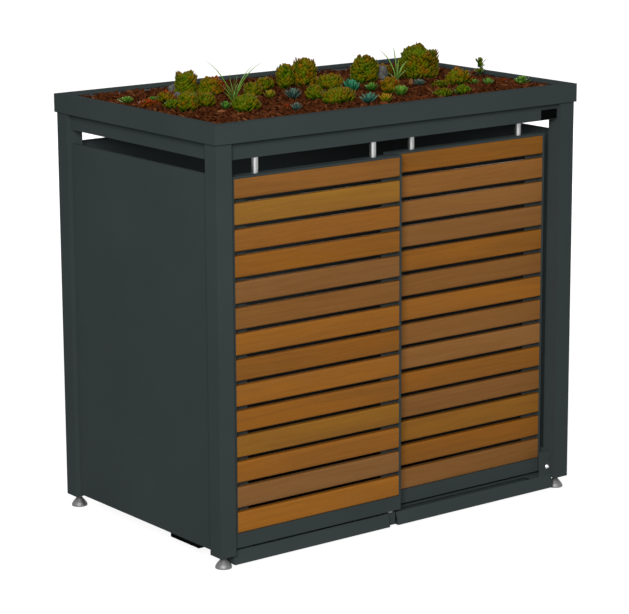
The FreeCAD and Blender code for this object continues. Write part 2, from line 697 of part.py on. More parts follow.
def anchor(hand, moves, sign):
    start = sign + "panel_half_width"
    body = folded("anchor_fold_" + hand, "along_y", moves, "anchor_length")
    place(body, start, "front + anchor_start", "panel_lift - anchor_height")
    inward = " - " if sign == "" else " + "
    hole = rod("anchor_hole_" + hand, "z", start + inward + "(anchor_reach - anchor_hole_inset)",
               "front + anchor_start + anchor_length / 2",
               "panel_lift - anchor_height - anchor_sheet", "anchor_hole / 2", "3 * anchor_sheet")
    return cut("anchor_" + hand, body, [hole])


node("ground_anchors", [anchor("left", ANCHOR, "-"), anchor("right", mirrored(ANCHOR), "")])

node("panel_screws", [panel_screw(spot) for spot in spots])

node("blank_plate", [box(
    "blank_plate", "inner_half_width - plate_side_gap - plate_width",
    "header_front - plate_sheet", "rail_base + plate_base_gap", "plate_width", "plate_sheet",
    "plate_height")])


# Roof fascia: four folded lengths with mitred corners.
def fascia_moves(inward, outward):
    return (
        (inward, "fascia_foot"),
        ("up", "fascia_sheet"),
        (outward, "fascia_foot - fascia_sheet"),
        ("up", "fascia_height - 2 * fascia_sheet"),
        (inward, "fascia_flange - 2 * fascia_sheet"),
        ("down", "fascia_lip - fascia_sheet"),
        (inward, "fascia_sheet"),
        ("up", "fascia_lip"),
        (outward, None),
        ("down", None),
    )


FASCIA_SIDES = (
    ("front", "along_x", ("right", "left"), "roof_half_width", ("-", "-"), 45, (("-", "-"), ("", "-"))),
    ("back", "along_x", ("left", "right"), "roof_half_width", ("-", ""), 225, (("-", ""), ("", ""))),
    ("left", "along_y", ("right", "left"), "roof_half_depth", ("-", "-"), -45, (("-", "-"), ("-", ""))),
    ("right", "along_y", ("left", "right"), "roof_half_depth", ("", "-"), 135, (("", "-"), ("", ""))),
)
for side, direction, ways, half, start, turn, corners in FASCIA_SIDES:
    strip = folded("fascia_strip_" + side, direction, fascia_moves(*ways), "2 * " + half)
    place(strip, start[0] + "roof_half_width", start[1] + "roof_half_depth", "frame_top")
    mitres = []
    for number, (x_sign, y_sign) in enumerate(corners, start=1):
        mitre = doc.addObject("Part::Box", "mitre_%s_%d" % (side, number))
        mitre.Placement.Rotation = FreeCAD.Rotation(FreeCAD.Vector(0, 0, 1), turn)
        bind(mitre, "Length", "2 * fascia_foot")
        bind(mitre, "Width", "2 * fascia_foot")
        bind(mitre, "Height", "2 * fascia_height")
        place(mitre, x_sign + "roof_half_width", y_sign + "roof_half_depth",
              "frame_top - fascia_height / 2")
        mitres.append(mitre)
    node("roof_fascia_" + side, [cut("roof_fascia_" + side, strip, mitres)])

# Planted roof: crossbars, tray, drainage mat, substrate and bark mulch.
crossbars = []
for name, shift in (("left", "-crossbar_spacing"), ("middle", "0 * crossbar_spacing"),
                    ("right", "crossbar_spacing")):
    crossbars.append(tube(
        "crossbar_" + name, "y", shift + " - crossbar_width / 2", "header_front + header_depth",
        "tray_base - crossbar_height", "crossbar_width",
        "inner_half_depth - header_front - header_depth", "crossbar_height", "rail_wall"))
node("roof_crossbars", crossbars)

tray_shell = box("tray_shell", "-tray_half_width", "-tray_half_depth", "tray_base",
                 "2 * tray_half_width", "2 * tray_half_depth",
                 "rim_height - fascia_sheet - tray_gap - tray_base")
tray_core = box("tray_core", "-bed_half_width", "-bed_half_depth", "tray_floor",
                "2 * bed_half_width", "2 * bed_half_depth", "fascia_height")
node("planter_tray", [cut("planter_tray", tray_shell, [tray_core])])


def layer(name, base, height):
    node(name, [box(name, "-bed_half_width", "-bed_half_depth", base,
                    "2 * bed_half_width", "2 * bed_half_depth", height)])


layer("drainage_mat", "tray_floor", "mat_thickness")
layer("substrate", "tray_floor + mat_thickness", "mulch_base - tray_floor - mat_thickness")
layer("bark_mulch", "mulch_base", "mulch_thickness")

# Plants and stones stand on the mulch. Each has its place as a share of half the bed, then
# its width along X, its depth along Y and its height. A smaller or larger bed has them as
# much smaller or larger across, so that they stay as close to each other as they are.
BUSHES = (
    ("sun", -0.831, 0.206, 52, 46, 22),
    ("low", -0.708, 0.292, 58, 50, 36),
    ("mound", -0.523, 0.463, 70, 64, 80),
    ("spread", -0.786, 0.007, 58, 54, 28),
    ("corner", -0.786, -0.183, 56, 54, 58),
    ("olive", -0.649, -0.076, 64, 58, 45),
    ("ridge", -0.434, 0.359, 86, 74, 62),
    ("front", -0.586, -0.425, 82, 66, 55),
    ("inner", -0.297, 0.152, 58, 52, 44),
    ("rear", -0.121, 0.384, 58, 52, 42),
    ("pillar", -0.025, 0.358, 54, 50, 80),
    ("tower", 0.082, 0.342, 76, 68, 92),
    ("amber", -0.159, -0.287, 56, 50, 48),
    ("middle", 0.107, 0.081, 86, 72, 50),
    ("carpet", -0.131, -0.501, 110, 70, 48),
    ("hill", 0.373, 0.217, 96, 82, 92),
    ("shade", 0.537, 0.336, 62, 54, 46),
    ("gold", 0.247, -0.344, 58, 52, 52),
    ("giant", 0.660, 0.160, 144, 122, 117),
    ("amberside", 0.537, -0.354, 60, 44, 24),
    ("round", 0.671, -0.294, 80, 66, 52),
    ("edge", 0.354, -0.731, 68, 46, 26),
    ("tip", 0.462, -0.738, 52, 44, 32),
    ("berry", -0.410, -0.511, 20, 18, 14),
    ("ember", 0.857, -0.460, 20, 18, 14),
    ("spot", 0.938, 0.035, 20, 18, 16),
)
ROSETTES = (
    ("outer", -0.854, 0.430, 46, 44, 22),
    ("seedling", -0.733, 0.396, 26, 24, 15),
    ("foot", -0.626, -0.266, 42, 40, 26),
    ("blue", -0.216, -0.159, 60, 56, 36),
    ("lime", -0.284, -0.036, 40, 38, 27),
    ("grey", -0.418, -0.636, 46, 42, 26),
    ("teal", 0.098, -0.187, 62, 58, 44),
    ("sea", -0.040, -0.665, 62, 56, 34),
    ("yellow", 0.029, -0.724, 44, 40, 30),
    ("mint", 0.206, -0.190, 48, 44, 28),
    ("leaf", 0.221, -0.520, 48, 44, 34),
    ("slate", 0.490, -0.197, 48, 44, 22),
    ("spark", 0.720, -0.403, 32, 30, 17),
    ("bright", 0.749, -0.489, 44, 40, 24),
    ("pale", 0.877, -0.624, 58, 44, 28),
)
TUFTS = (
    ("left", -0.502, -0.081, 34, 160, 136),
    ("right", 0.492, 0.071, 26, 112, 112),
)
STONES = (
    ("rear", -0.509, 0.662, 34, 28, 26),
    ("front", -0.606, 0.375, 28, 24, 22),
    ("upright", 0.472, 0.206, 40, 32, 50),
)
SPRIGS = (
    ("right", 0.918, -0.083, 36, 63),
)


def mound(name, share_x, share_y, wide, deep, high):
    """Rounded clump with a flat base: an ellipsoid cut a third of the way up."""
    piece = doc.addObject("Part::Ellipsoid", name)
    piece.Angle1 = -30
    piece.Radius1 = high / 1.5
    bind(piece, "Radius2", "%s * plant_x" % (wide / 2))
    bind(piece, "Radius3", "%s * plant_y" % (deep / 2))
    return place(piece, "%s * bed_half_width" % share_x, "%s * bed_half_depth" % share_y,
                 "mulch_top + %s" % (high / 3))


node("sedum_bushes", [mound("bush_" + name, *spot) for name, *spot in BUSHES])
node("rosette_plants", [mound("rosette_" + name, *spot) for name, *spot in ROSETTES])
node("stones", [mound("stone_" + name, *spot) for name, *spot in STONES])

grasses = [
    taper("tuft_" + name, "z", "%s * bed_half_width" % x, "%s * bed_half_depth" % y, "mulch_top",
          "%s * plant_round" % (low / 2), "%s * plant_round" % (high / 2), "%s" % tall)
    for name, x, y, low, high, tall in TUFTS]
for name, x, y, wide, tall in SPRIGS:
    middle = ("%s * bed_half_width" % x, "%s * bed_half_depth" % y)
    stem = rod("sprig_stem_" + name, "z", *middle, "mulch_top", "%s * plant_round" % (wide / 8),
               "%s" % (tall * 0.5))
    head = taper("sprig_head_" + name, "z", *middle, "mulch_top + %s" % (tall * 0.4),
                 "%s * plant_round" % (wide / 4), "%s * plant_round" % (wide / 2),
                 "%s" % (tall * 0.6))
    grasses.append(fuse("sprig_" + name, [stem, head]))
node("grass_tufts", grasses)

# Levelling feet: disc and stud in one, and a lock nut against the post.
for end, y_sign in (("front", "-"), ("back", "")):
    for hand, x_sign in (("left", "-"), ("right", "")):
        name = "%s_%s" % (end, hand)
        middle = (x_sign + "post_middle_x", y_sign + "post_middle_y")
        disc = rod("foot_disc_" + name, "z", *middle, "0 * foot_edge", "foot_diameter / 2",
                   "foot_edge")
        shoulder = taper("foot_slope_" + name, "z", *middle, "foot_edge", "foot_diameter / 2",
                         "foot_shoulder / 2", "foot_shoulder_height")
        dome = taper("foot_dome_" + name, "z", *middle, "foot_edge + foot_shoulder_height",
                     "foot_shoulder / 2", "foot_neck / 2", "foot_dome")
        stud = rod("foot_stud_" + name, "z", *middle, "foot_edge", "foot_stud / 2",
                   "post_lift + foot_stud_reach - foot_edge")
        foot = fuse("foot_whole_" + name, [disc, shoulder, dome, stud])
        hexagon = nut("lock_nut_hex_" + name, "z", *middle, "post_lift - lock_nut_height",
                      "lock_nut_width", "lock_nut_height")
        bore = rod("lock_nut_bore_" + name, "z", *middle, "post_lift - 2 * lock_nut_height",
                   "foot_stud / 2 + foot_clearance", "3 * lock_nut_height")
        node("foot_" + name, [foot, cut("lock_nut_" + name, hexagon, [bore])])


# Doors: a folded frame, fourteen slats, two upright strips and the screws that hold them.
STILE = (
    ("right", "door_lip"),
    ("up", "door_sheet"),
    ("left", "door_lip - door_sheet"),
    ("up", "door_depth - 2 * door_sheet"),
    ("right", "door_back_lip - door_sheet"),
    ("up", "door_sheet"),
    ("left", None),
    ("down", None),
)


def repeat_upwards(body, feature, count, length):
    """Repeat a feature in even steps up the Z axis of its body."""
    pattern = body.newObject("PartDesign::LinearPattern", feature.Name + "_row")
    pattern.Originals = [feature]
    pattern.Direction = (origin_part(body, "Z_Axis"), [""])
    bind(pattern, "Occurrences", count)
    bind(pattern, "Length", length)
    body.Tip = pattern
    return pattern


def slats(prefix, x, y):
    """All slats of a door: a bevelled section padded along X, then repeated upwards."""
    body = doc.addObject("PartDesign::Body", prefix + "_slats")
    body.AllowCompound = True
    sketch = new_sketch(body, prefix + "_slat_section", "along_x")
    corners = ((2, 0), (20, 0), (20, 60), (2, 60), (0, 58), (0, 2))
    count = len(corners)
    for index in range(count):
        start = FreeCAD.Vector(*corners[index], 0)
        end = FreeCAD.Vector(*corners[(index + 1) % count], 0)
        sketch.addGeometry(Part.LineSegment(start, end), False)
    for index in range(count):
        sketch.addConstraint(Sketcher.Constraint("Coincident", index, 2, (index + 1) % count, 1))
    for index, kind in ((0, "Horizontal"), (1, "Vertical"), (2, "Horizontal"), (4, "Vertical")):
        sketch.addConstraint(Sketcher.Constraint(kind, index))
    distances = (
        ("bevellow", "DistanceX", (-1, 1), (0, 1), 2, "slat_bevel"),
        ("bevelhigh", "DistanceX", (-1, 1), (2, 2), 2, "slat_bevel"),
        ("thick", "DistanceX", (-1, 1), (0, 2), 20, "slat_thickness"),
        ("tall", "DistanceY", (1, 1), (1, 2), 60, "slat_height"),
        ("edgelow", "DistanceY", (0, 1), (4, 2), 2, "slat_bevel"),
        ("edgehigh", "DistanceY", (4, 1), (2, 2), 2, "slat_bevel"),
    )
    for name, kind, first, second, value, rule in distances:
        number = sketch.addConstraint(Sketcher.Constraint(kind, *first, *second, value))
        sketch.renameConstraint(number, name)
        bind(sketch, "Constraints." + name, rule)
    sketch.addConstraint(Sketcher.Constraint("PointOnObject", 0, 1, -1))
    sketch.addConstraint(Sketcher.Constraint("PointOnObject", 4, 1, -2))
    pad = body.newObject("PartDesign::Pad", prefix + "_slat_pad")
    pad.Profile = sketch
    bind(pad, "Length", "door_width - 2 * door_sheet - 2 * slat_end_gap")
    sketch.Visibility = False
    body.Tip = pad
    doc.recompute()
    repeat_upwards(body, pad, "slat_count", "slat_pitch * (slat_count - 1)")
    place(body, x + " + door_sheet + slat_end_gap", y + " + door_sheet", "slat_base")
    node(prefix + "_slats", [body])


def strip(prefix, hand, x, y):
    """Upright strip behind the slat ends, with one screw hole for each slat."""
    body = doc.addObject("PartDesign::Body", "%s_strip_%s" % (prefix, hand))
    sketch = new_sketch(body, "%s_strip_section_%s" % (prefix, hand), "along_z")
    square_outline(sketch, (("right", "strip_width"), ("up", "strip_sheet"),
                            ("left", None), ("down", None)))
    pad = body.newObject("PartDesign::Pad", "%s_strip_pad_%s" % (prefix, hand))
    pad.Profile = sketch
    bind(pad, "Length", "slat_room")
    sketch.Visibility = False
    drill = new_sketch(body, "%s_strip_drill_%s" % (prefix, hand), "along_y")
    drill.addGeometry(Part.Circle(FreeCAD.Vector(30, 30, 0), FreeCAD.Vector(0, 0, 1), 2), False)
    rules = (
        ("across", Sketcher.Constraint("DistanceX", -1, 1, 0, 3, 30), "strip_width / 2"),
        ("above", Sketcher.Constraint("DistanceY", -1, 1, 0, 3, 30), "slat_height / 2"),
        ("wide", Sketcher.Constraint("Radius", 0, 2), "slat_screw / 2 + screw_clearance"),
    )
    for name, constraint, rule in rules:
        number = drill.addConstraint(constraint)
        drill.renameConstraint(number, name)
        bind(drill, "Constraints." + name, rule)
    drill.Visibility = False
    doc.recompute()
    pocket = body.newObject("PartDesign::Pocket", "%s_strip_hole_%s" % (prefix, hand))
    pocket.Profile = drill
    pocket.Type = "ThroughAll"
    pocket.Midplane = True
    body.Tip = pocket
    doc.recompute()
    repeat_upwards(body, pocket, "slat_count", "slat_pitch * (slat_count - 1)")
    place(body, x, y, "slat_base")
    return body


def slat_screws(prefix, hand, x, y, count):
    """One column of slat screws, seen from the back of the door."""
    column = []
    for number in range(count):
        height = "slat_base + slat_height / 2 + %d * slat_pitch" % number
        name = "%s_%s_%02d" % (prefix, hand, number + 1)
        body = rod("slat_screw_body_" + name, "y", x, y + " - strip_sheet - slat_screw_grip",
                   height, "slat_screw / 2", "strip_sheet + slat_screw_grip")
        head = rod("slat_screw_head_" + name, "y", x, y, height, "slat_screw_head / 2",
                   "slat_screw_cap")
        column.append(fuse("slat_screw_" + name, [body, head]))
    return column


def hanger(name, x, y):
    """Rod on the door, stud through the track slot, carriage and wheel axle."""
    post = rod("hanger_rod_" + name, "z", x, y, "door_top", "rod_diameter / 2",
               "track_base - rod_gap - door_top")
    stud = rod("hanger_stud_" + name, "z", x, y, "track_base - rod_gap", "stud_diameter / 2",
               "carriage_base + carriage_height / 2 - track_base + rod_gap")
    carriage = box("hanger_block_" + name, x + " - carriage_length / 2",
                   y + " - carriage_width / 2", "carriage_base", "carriage_length",
                   "carriage_width", "carriage_height")
    axle = rod("hanger_axle_" + name, "y", x, y + " - axle_half", "axle_height",
               "axle_diameter / 2", "2 * axle_half")
    return fuse("hanger_" + name, [post, stud, carriage, axle])


def wheel_pair(name, x, y):
    pair = []
    for side, start in (("front", " - wheel_offset - wheel_width"), ("rear", " + wheel_offset")):
        rim = rod("wheel_rim_%s_%s" % (name, side), "y", x, y + start, "axle_height",
                  "wheel_diameter / 2", "wheel_width")
        bore = rod("wheel_bore_%s_%s" % (name, side), "y", x, y + start + " - wheel_width",
                   "axle_height", "axle_diameter / 2 + axle_clearance", "3 * wheel_width")
        pair.append(cut("wheel_%s_%s" % (name, side), rim, [bore]))
    node("wheels_" + name, pair)


SLAT_COUNT = int(sizes.get("slat_count"))


def door(prefix, x, y, line):
    far = x + " + door_width"
    web = box(prefix + "_top_web", x, y, "door_top - door_sheet", "door_width", "door_depth",
              "door_sheet")
    lip = box(prefix + "_top_lip", x + " + door_lip", y, "door_top - door_sheet - door_top_lip",
              "door_width - 2 * door_lip", "door_sheet", "door_top_lip")
    back = box(prefix + "_top_back", x + " + door_back_lip", y + " + door_depth - door_sheet",
               "door_top - door_sheet - door_back_lip", "door_width - 2 * door_back_lip",
               "door_sheet", "door_back_lip")
    node(prefix + "_top_rail", [fuse(prefix + "_top_rail", [web, lip, back])])
    base = slotted_channel(prefix + "_bottom_rail", "door_depth", "door_base_height",
                           "door_sheet", "guide_slot", "door_width")
    place(base, x, y, "door_lift")
    node(prefix + "_bottom_rail", [base])
    left = folded(prefix + "_stile_left", "along_z", STILE, "slat_room")
    place(left, x, y, "slat_base")
    right = folded(prefix + "_stile_right", "along_z", mirrored(STILE), "slat_room")
    place(right, far, y, "slat_base")
    node(prefix + "_stiles", [left, right])
    slats(prefix, x, y)
    seat = y + " + door_sheet + slat_thickness"
    node(prefix + "_slat_strips", [
        strip(prefix, "left", x + " + door_sheet", seat),
        strip(prefix, "right", far + " - door_sheet - strip_width", seat)])
    back_face = seat + " + strip_sheet"
    node(prefix + "_slat_screws",
         slat_screws(prefix, "left", x + " + door_sheet + strip_width / 2", back_face, SLAT_COUNT)
         + slat_screws(prefix, "right", far + " - door_sheet - strip_width / 2", back_face,
                       SLAT_COUNT))
    hang_left = x + " + hanger_inset"
    hang_right = far + " - hanger_inset"
    node(prefix + "_hangers", [hanger(prefix + "_left", hang_left, line),
                               hanger(prefix + "_right", hang_right, line)])
    wheel_pair(prefix + "_left", hang_left, line)
    wheel_pair(prefix + "_right", hang_right, line)


door("left_door", "left_door_x", "front_door_y", "front_line")
door("right_door", "right_door_x", "rear_door_y", "front_line + track_pitch")

doc.recompute()

faults = []
for thing in doc.Objects:
    if "Invalid" in thing.State or "Error" in thing.State:
        faults.append("%s is %s" % (thing.Name, thing.State))
for piece in nodes:
    if piece.Shape.isNull():
        faults.append(piece.Label + " has no shape")
    elif not piece.Shape.isValid():
        faults.append(piece.Label + " is not valid")
    elif not piece.Shape.Solids:
        faults.append(piece.Label + " has no solid")
if faults:
    raise SystemExit("\n".join(faults))

os.makedirs("parts", exist_ok=True)
for piece in nodes:
    piece.Shape.exportStep("parts/%s.step" % piece.Label)
    print(piece.Label, len(piece.Shape.Solids), "solids")
print(len(nodes), "sub-parts")
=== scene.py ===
import json
import math
import random

import bmesh
import bpy
from mathutils import Matrix, Vector, noise


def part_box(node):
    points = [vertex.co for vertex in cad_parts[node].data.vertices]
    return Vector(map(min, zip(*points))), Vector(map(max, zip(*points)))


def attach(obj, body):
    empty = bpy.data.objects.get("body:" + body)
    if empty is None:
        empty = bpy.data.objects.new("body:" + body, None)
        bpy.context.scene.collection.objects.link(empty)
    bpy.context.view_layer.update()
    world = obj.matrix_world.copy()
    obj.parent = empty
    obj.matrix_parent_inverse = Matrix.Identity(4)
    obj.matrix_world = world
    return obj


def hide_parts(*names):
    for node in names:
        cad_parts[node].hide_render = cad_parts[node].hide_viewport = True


# Wheelie bin store: grey steel, two slatted sliding doors and a planted roof.
# Metres. X runs along the front from left to right, Y from front to back, Z up.

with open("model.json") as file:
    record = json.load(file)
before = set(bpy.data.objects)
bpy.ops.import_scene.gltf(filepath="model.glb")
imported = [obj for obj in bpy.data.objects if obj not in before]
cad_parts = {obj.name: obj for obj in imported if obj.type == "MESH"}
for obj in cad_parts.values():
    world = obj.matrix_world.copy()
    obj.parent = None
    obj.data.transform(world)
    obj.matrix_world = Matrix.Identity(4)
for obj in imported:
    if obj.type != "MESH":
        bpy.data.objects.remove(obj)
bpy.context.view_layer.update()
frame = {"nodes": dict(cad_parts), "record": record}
nodes = frame["nodes"]


def linear(red, green, blue):
    """A colour for the shaders, from its three parts as a screen shows them, 0 to 255."""
    parts = []
    for part in (red, green, blue):
        shown = part / 255
        parts.append(((shown + 0.055) / 1.055) ** 2.4 if part > 10 else shown / 12.92)
    return (*parts, 1.0)


# Materials
def material(name, roughness, metallic=0.0, specular=0.5):
    made = bpy.data.materials.new(name)
    made.use_nodes = True
    shader = made.node_tree.nodes["Principled BSDF"]
    shader.inputs["Roughness"].default_value = roughness
    shader.inputs["Metallic"].default_value = metallic
    shader.inputs["Specular IOR Level"].default_value = specular
    return made, made.node_tree, shader


def put(tree, kind, inputs, **settings):
    """A new node. An input is given a number or colour, or is wired to another node."""
    made = tree.nodes.new("ShaderNode" + kind)
    for key, value in settings.items():
        setattr(made, key, value)
    for key, value in inputs.items():
        if isinstance(value, bpy.types.NodeSocket):
            tree.links.new(value, made.inputs[key])
        else:
            made.inputs[key].default_value = value
    return made


def mix(tree, share, low, high):
    made = put(tree, "Mix", {0: share, 6: low, 7: high}, data_type="RGBA")
    return made.outputs[2]


def scaled(tree, vector, factor):
    return put(tree, "VectorMath", {0: vector, 3: factor}, operation="SCALE").outputs[0]


def plus(tree, first, second):
    return put(tree, "VectorMath", {0: first, 1: second}, operation="ADD").outputs[0]


def maths(tree, work, first, second=0.0):
    return put(tree, "Math", {0: first, 1: second}, operation=work).outputs[0]


def spread(tree, value, from_low, from_high, to_low, to_high):
    """Carry one range of a value over to another range, and hold it at the ends."""
    made = put(tree, "MapRange", {0: value, 1: from_low, 2: from_high, 3: to_low, 4: to_high})
    return made.outputs[0]


def ramp(tree, value, stops):
    """A colour picked by a value from 0 to 1, between stops of share and colour."""
    made = put(tree, "ValToRGB", {0: value})
    band = made.color_ramp
    while len(band.elements) < len(stops):
        band.elements.new(0.5)
    for element, (share, colour) in zip(band.elements, stops):
        element.position = share
        element.color = colour
    return made.outputs[0]


def place(tree):
    return put(tree, "TexCoord", {}).outputs["Object"]


def stretched(tree, vector, scale):
    return put(tree, "Mapping", {0: vector, 3: scale}).outputs[0]


def cloud(tree, vector, scale, detail=3.0, roughness=0.5):
    made = put(tree, "TexNoise", {"Vector": vector, "Scale": scale, "Detail": detail,
                                  "Roughness": roughness})
    return made.outputs[0]


def bump(tree, shader, height, distance, strength=1.0, normal=None):
    inputs = {"Strength": strength, "Distance": distance, "Height": height}
    if normal is not None:
        inputs["Normal"] = normal
    made = put(tree, "Bump", inputs)
    tree.links.new(made.outputs[0], shader.inputs["Normal"])


STEEL_DARK = linear(54, 61, 61)
STEEL_LIGHT = linear(57, 64, 64)
STEEL_ROUGHNESS = 0.65
# Share of the coat's colour on faces that look up: painted light.
PAINTED_TOP_LIGHT = 1.2
EDGE_SOFTNESS = 0.0012


def powder_coat():
    """An even grey with a fine orange-peel surface, and painted light that makes top faces a
    little lighter.
    """
    made, tree, shader = material("powder_coat", STEEL_ROUGHNESS, specular=0.0)
    where = place(tree)
    patches = cloud(tree, where, 4.0, 3.0)
    coat = mix(tree, spread(tree, patches, 0.3, 0.7, 0.0, 1.0), STEEL_DARK, STEEL_LIGHT)
    # Painted light: faces that look up get a lighter base colour.
    facing = put(tree, "SeparateXYZ", {0: put(tree, "NewGeometry", {}).outputs["True Normal"]})
    level = spread(tree, facing.outputs[2], 0.5, 0.9, 1.0, PAINTED_TOP_LIGHT)
    tree.links.new(scaled(tree, coat, level), shader.inputs["Base Color"])
    tree.links.new(spread(tree, cloud(tree, where, 14.0, 4.0), 0.3, 0.7, STEEL_ROUGHNESS - 0.03,
                          STEEL_ROUGHNESS + 0.03), shader.inputs["Roughness"])
    edge = put(tree, "Bevel", {"Radius": EDGE_SOFTNESS}, samples=4).outputs[0]
    peel = cloud(tree, where, 420.0, 2.0)
    bump(tree, shader, peel, 0.0001, 0.4, edge)
    return made


def brushed(name, colour, roughness, scale):
    """Bare metal with fine brush marks, which run along the axis of the smallest scale."""
    made, tree, shader = material(name, roughness, metallic=1.0)
    marks = cloud(tree, stretched(tree, place(tree), scale), 1.0, 3.0)
    patches = cloud(tree, place(tree), 30.0, 3.0)
    light = tuple(min(1.0, part * 1.06) for part in colour[:3]) + (1.0,)
    deep = tuple(part * 0.86 for part in colour[:3]) + (1.0,)
    tree.links.new(mix(tree, maths(tree, "MULTIPLY", maths(tree, "ADD", marks, patches), 0.5),
                       deep, light), shader.inputs["Base Color"])
    tree.links.new(spread(tree, marks, 0.3, 0.7, roughness - 0.08, roughness + 0.1),
                   shader.inputs["Roughness"])
    edge = put(tree, "Bevel", {"Radius": EDGE_SOFTNESS / 2}, samples=4).outputs[0]
    bump(tree, shader, marks, 0.00006, 0.4, edge)
    return made


def plain_plastic(name, dark, light, roughness, scale=60.0, depth=0.0002, specular=0.08):
    """A dull surface with faint patches of colour, and grains of the given depth."""
    made, tree, shader = material(name, roughness, specular=specular)
    grain = cloud(tree, place(tree), scale, 4.0)
    tree.links.new(mix(tree, grain, dark, light), shader.inputs["Base Color"])
    bump(tree, shader, cloud(tree, place(tree), scale * 12, 2.0), depth)
    return made


# Wood. The slats of both doors stand at the same heights.
SLATS = 14
SLAT_GAP = 0.01255
# Width of the painted shade along the top edge of each slat, under the gap.
PAINTED_EDGE_SHADE = 0.0014
slats_low, slats_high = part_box("left_door_slats")
slat_height = (slats_high.z - slats_low.z + SLAT_GAP) / SLATS - SLAT_GAP
slat_pitch = slat_height + SLAT_GAP


def wood(name, seed):
    """Oiled hardwood with its grain along X. Each slat has its own tone and figure, and painted
    shade along its top edge.
    """
    made, tree, shader = material(name, 0.55, specular=0.08)
    where = place(tree)
    apart = put(tree, "SeparateXYZ", {0: where})
    above = maths(tree, "SUBTRACT", apart.outputs[2], slats_low.z - SLAT_GAP / 2)
    pitches = maths(tree, "DIVIDE", above, slat_pitch)
    number = maths(tree, "FLOOR", pitches)
    within = maths(tree, "SUBTRACT", pitches, number)
    to_next = maths(tree, "MULTIPLY", maths(tree, "SUBTRACT", 1.0, within), slat_pitch)
    under_top = maths(tree, "SUBTRACT", to_next, SLAT_GAP / 2)
    pick = put(tree, "TexWhiteNoise", {"W": maths(tree, "ADD", number, seed)},
               noise_dimensions="1D")
    tone = pick.outputs["Value"]
    lots = put(tree, "SeparateColor", {0: pick.outputs["Color"]})
    shift = put(tree, "CombineXYZ", {0: maths(tree, "MULTIPLY", tone, 9.0),
                                     1: maths(tree, "MULTIPLY", lots.outputs[0], 5.0),
                                     2: maths(tree, "MULTIPLY", lots.outputs[1], 7.0)})
    board = plus(tree, where, shift.outputs[0])

    sway = cloud(tree, stretched(tree, board, (2.2, 9.0, 9.0)), 1.0, 2.0)
    swing = put(tree, "CombineXYZ", {2: maths(tree, "MULTIPLY", sway, 0.05)}).outputs[0]
    bent = plus(tree, board, swing)
    figure = cloud(tree, stretched(tree, bent, (2.6, 14.0, 14.0)), 1.0, 2.5)
    bands = cloud(tree, stretched(tree, bent, (2.0, 120.0, 120.0)), 1.0, 3.0, 0.6)
    fibres = cloud(tree, stretched(tree, bent, (14.0, 900.0, 900.0)), 1.0, 2.0)
    pores = cloud(tree, stretched(tree, board, (55.0, 1300.0, 1300.0)), 1.0, 1.0)

    body = ramp(tree, tone, (
        (0.0, linear(126, 88, 51)), (0.4, linear(132, 87, 42)), (0.5, linear(139, 85, 24)),
        (0.85, linear(144, 89, 24)), (1.0, linear(136, 100, 34))))
    figured = mix(tree, spread(tree, figure, 0.36, 0.64, 0.0, 0.45), body, linear(118, 77, 33))
    streaks = mix(tree, spread(tree, bands, 0.42, 0.72, 0.0, 0.3), figured, linear(94, 57, 24))
    hairs = mix(tree, spread(tree, fibres, 0.35, 0.75, 0.0, 0.25), streaks, linear(158, 113, 60))
    dots = mix(tree, spread(tree, pores, 0.66, 0.78, 0.0, 0.4), hairs, linear(66, 38, 16))
    level = spread(tree, lots.outputs[2], 0.0, 1.0, 0.88, 1.1)
    # Painted shade: a dark band along the top edge of each slat, beside the gap.
    painted_edge_shade = spread(tree, under_top, 0.0, PAINTED_EDGE_SHADE, 0.4, 0.0)
    tree.links.new(mix(tree, painted_edge_shade, scaled(tree, dots, level), linear(30, 15, 5)),
                   shader.inputs["Base Color"])
    tree.links.new(spread(tree, fibres, 0.3, 0.7, 0.45, 0.58), shader.inputs["Roughness"])
    height = maths(tree, "SUBTRACT", maths(tree, "ADD", bands, fibres), pores)
    bump(tree, shader, height, 0.00025, 0.6)
    return made


def toned(tree):
    """The three numbers that a built mesh holds for each point."""
    made = put(tree, "Attribute", {}, attribute_name="tone")
    return put(tree, "SeparateColor", {0: made.outputs["Color"]}).outputs


def bark():
    """Chips in many browns, with painted shade that makes them darker the deeper they lie."""
    made, tree, shader = material("bark", 0.85, specular=0.0)
    where = place(tree)
    lot, lift = toned(tree)[:2]
    colour = ramp(tree, lot, (
        (0.0, linear(40, 19, 8)), (0.3, linear(67, 34, 16)), (0.6, linear(88, 47, 25)),
        (0.85, linear(101, 58, 33)), (1.0, linear(119, 77, 46))))
    fibre = cloud(tree, stretched(tree, where, (260.0, 260.0, 500.0)), 1.0, 4.0, 0.65)
    worn = mix(tree, spread(tree, fibre, 0.4, 0.75, 0.0, 0.5), colour, linear(47, 23, 11))
    # Painted shade: the lower a chip lies, the darker it is.
    tree.links.new(mix(tree, spread(tree, lift, 0.0, 1.0, 0.9, 0.0), worn, linear(14, 6, 3)),
                   shader.inputs["Base Color"])
    bump(tree, shader, fibre, 0.0012, 0.8)
    return made


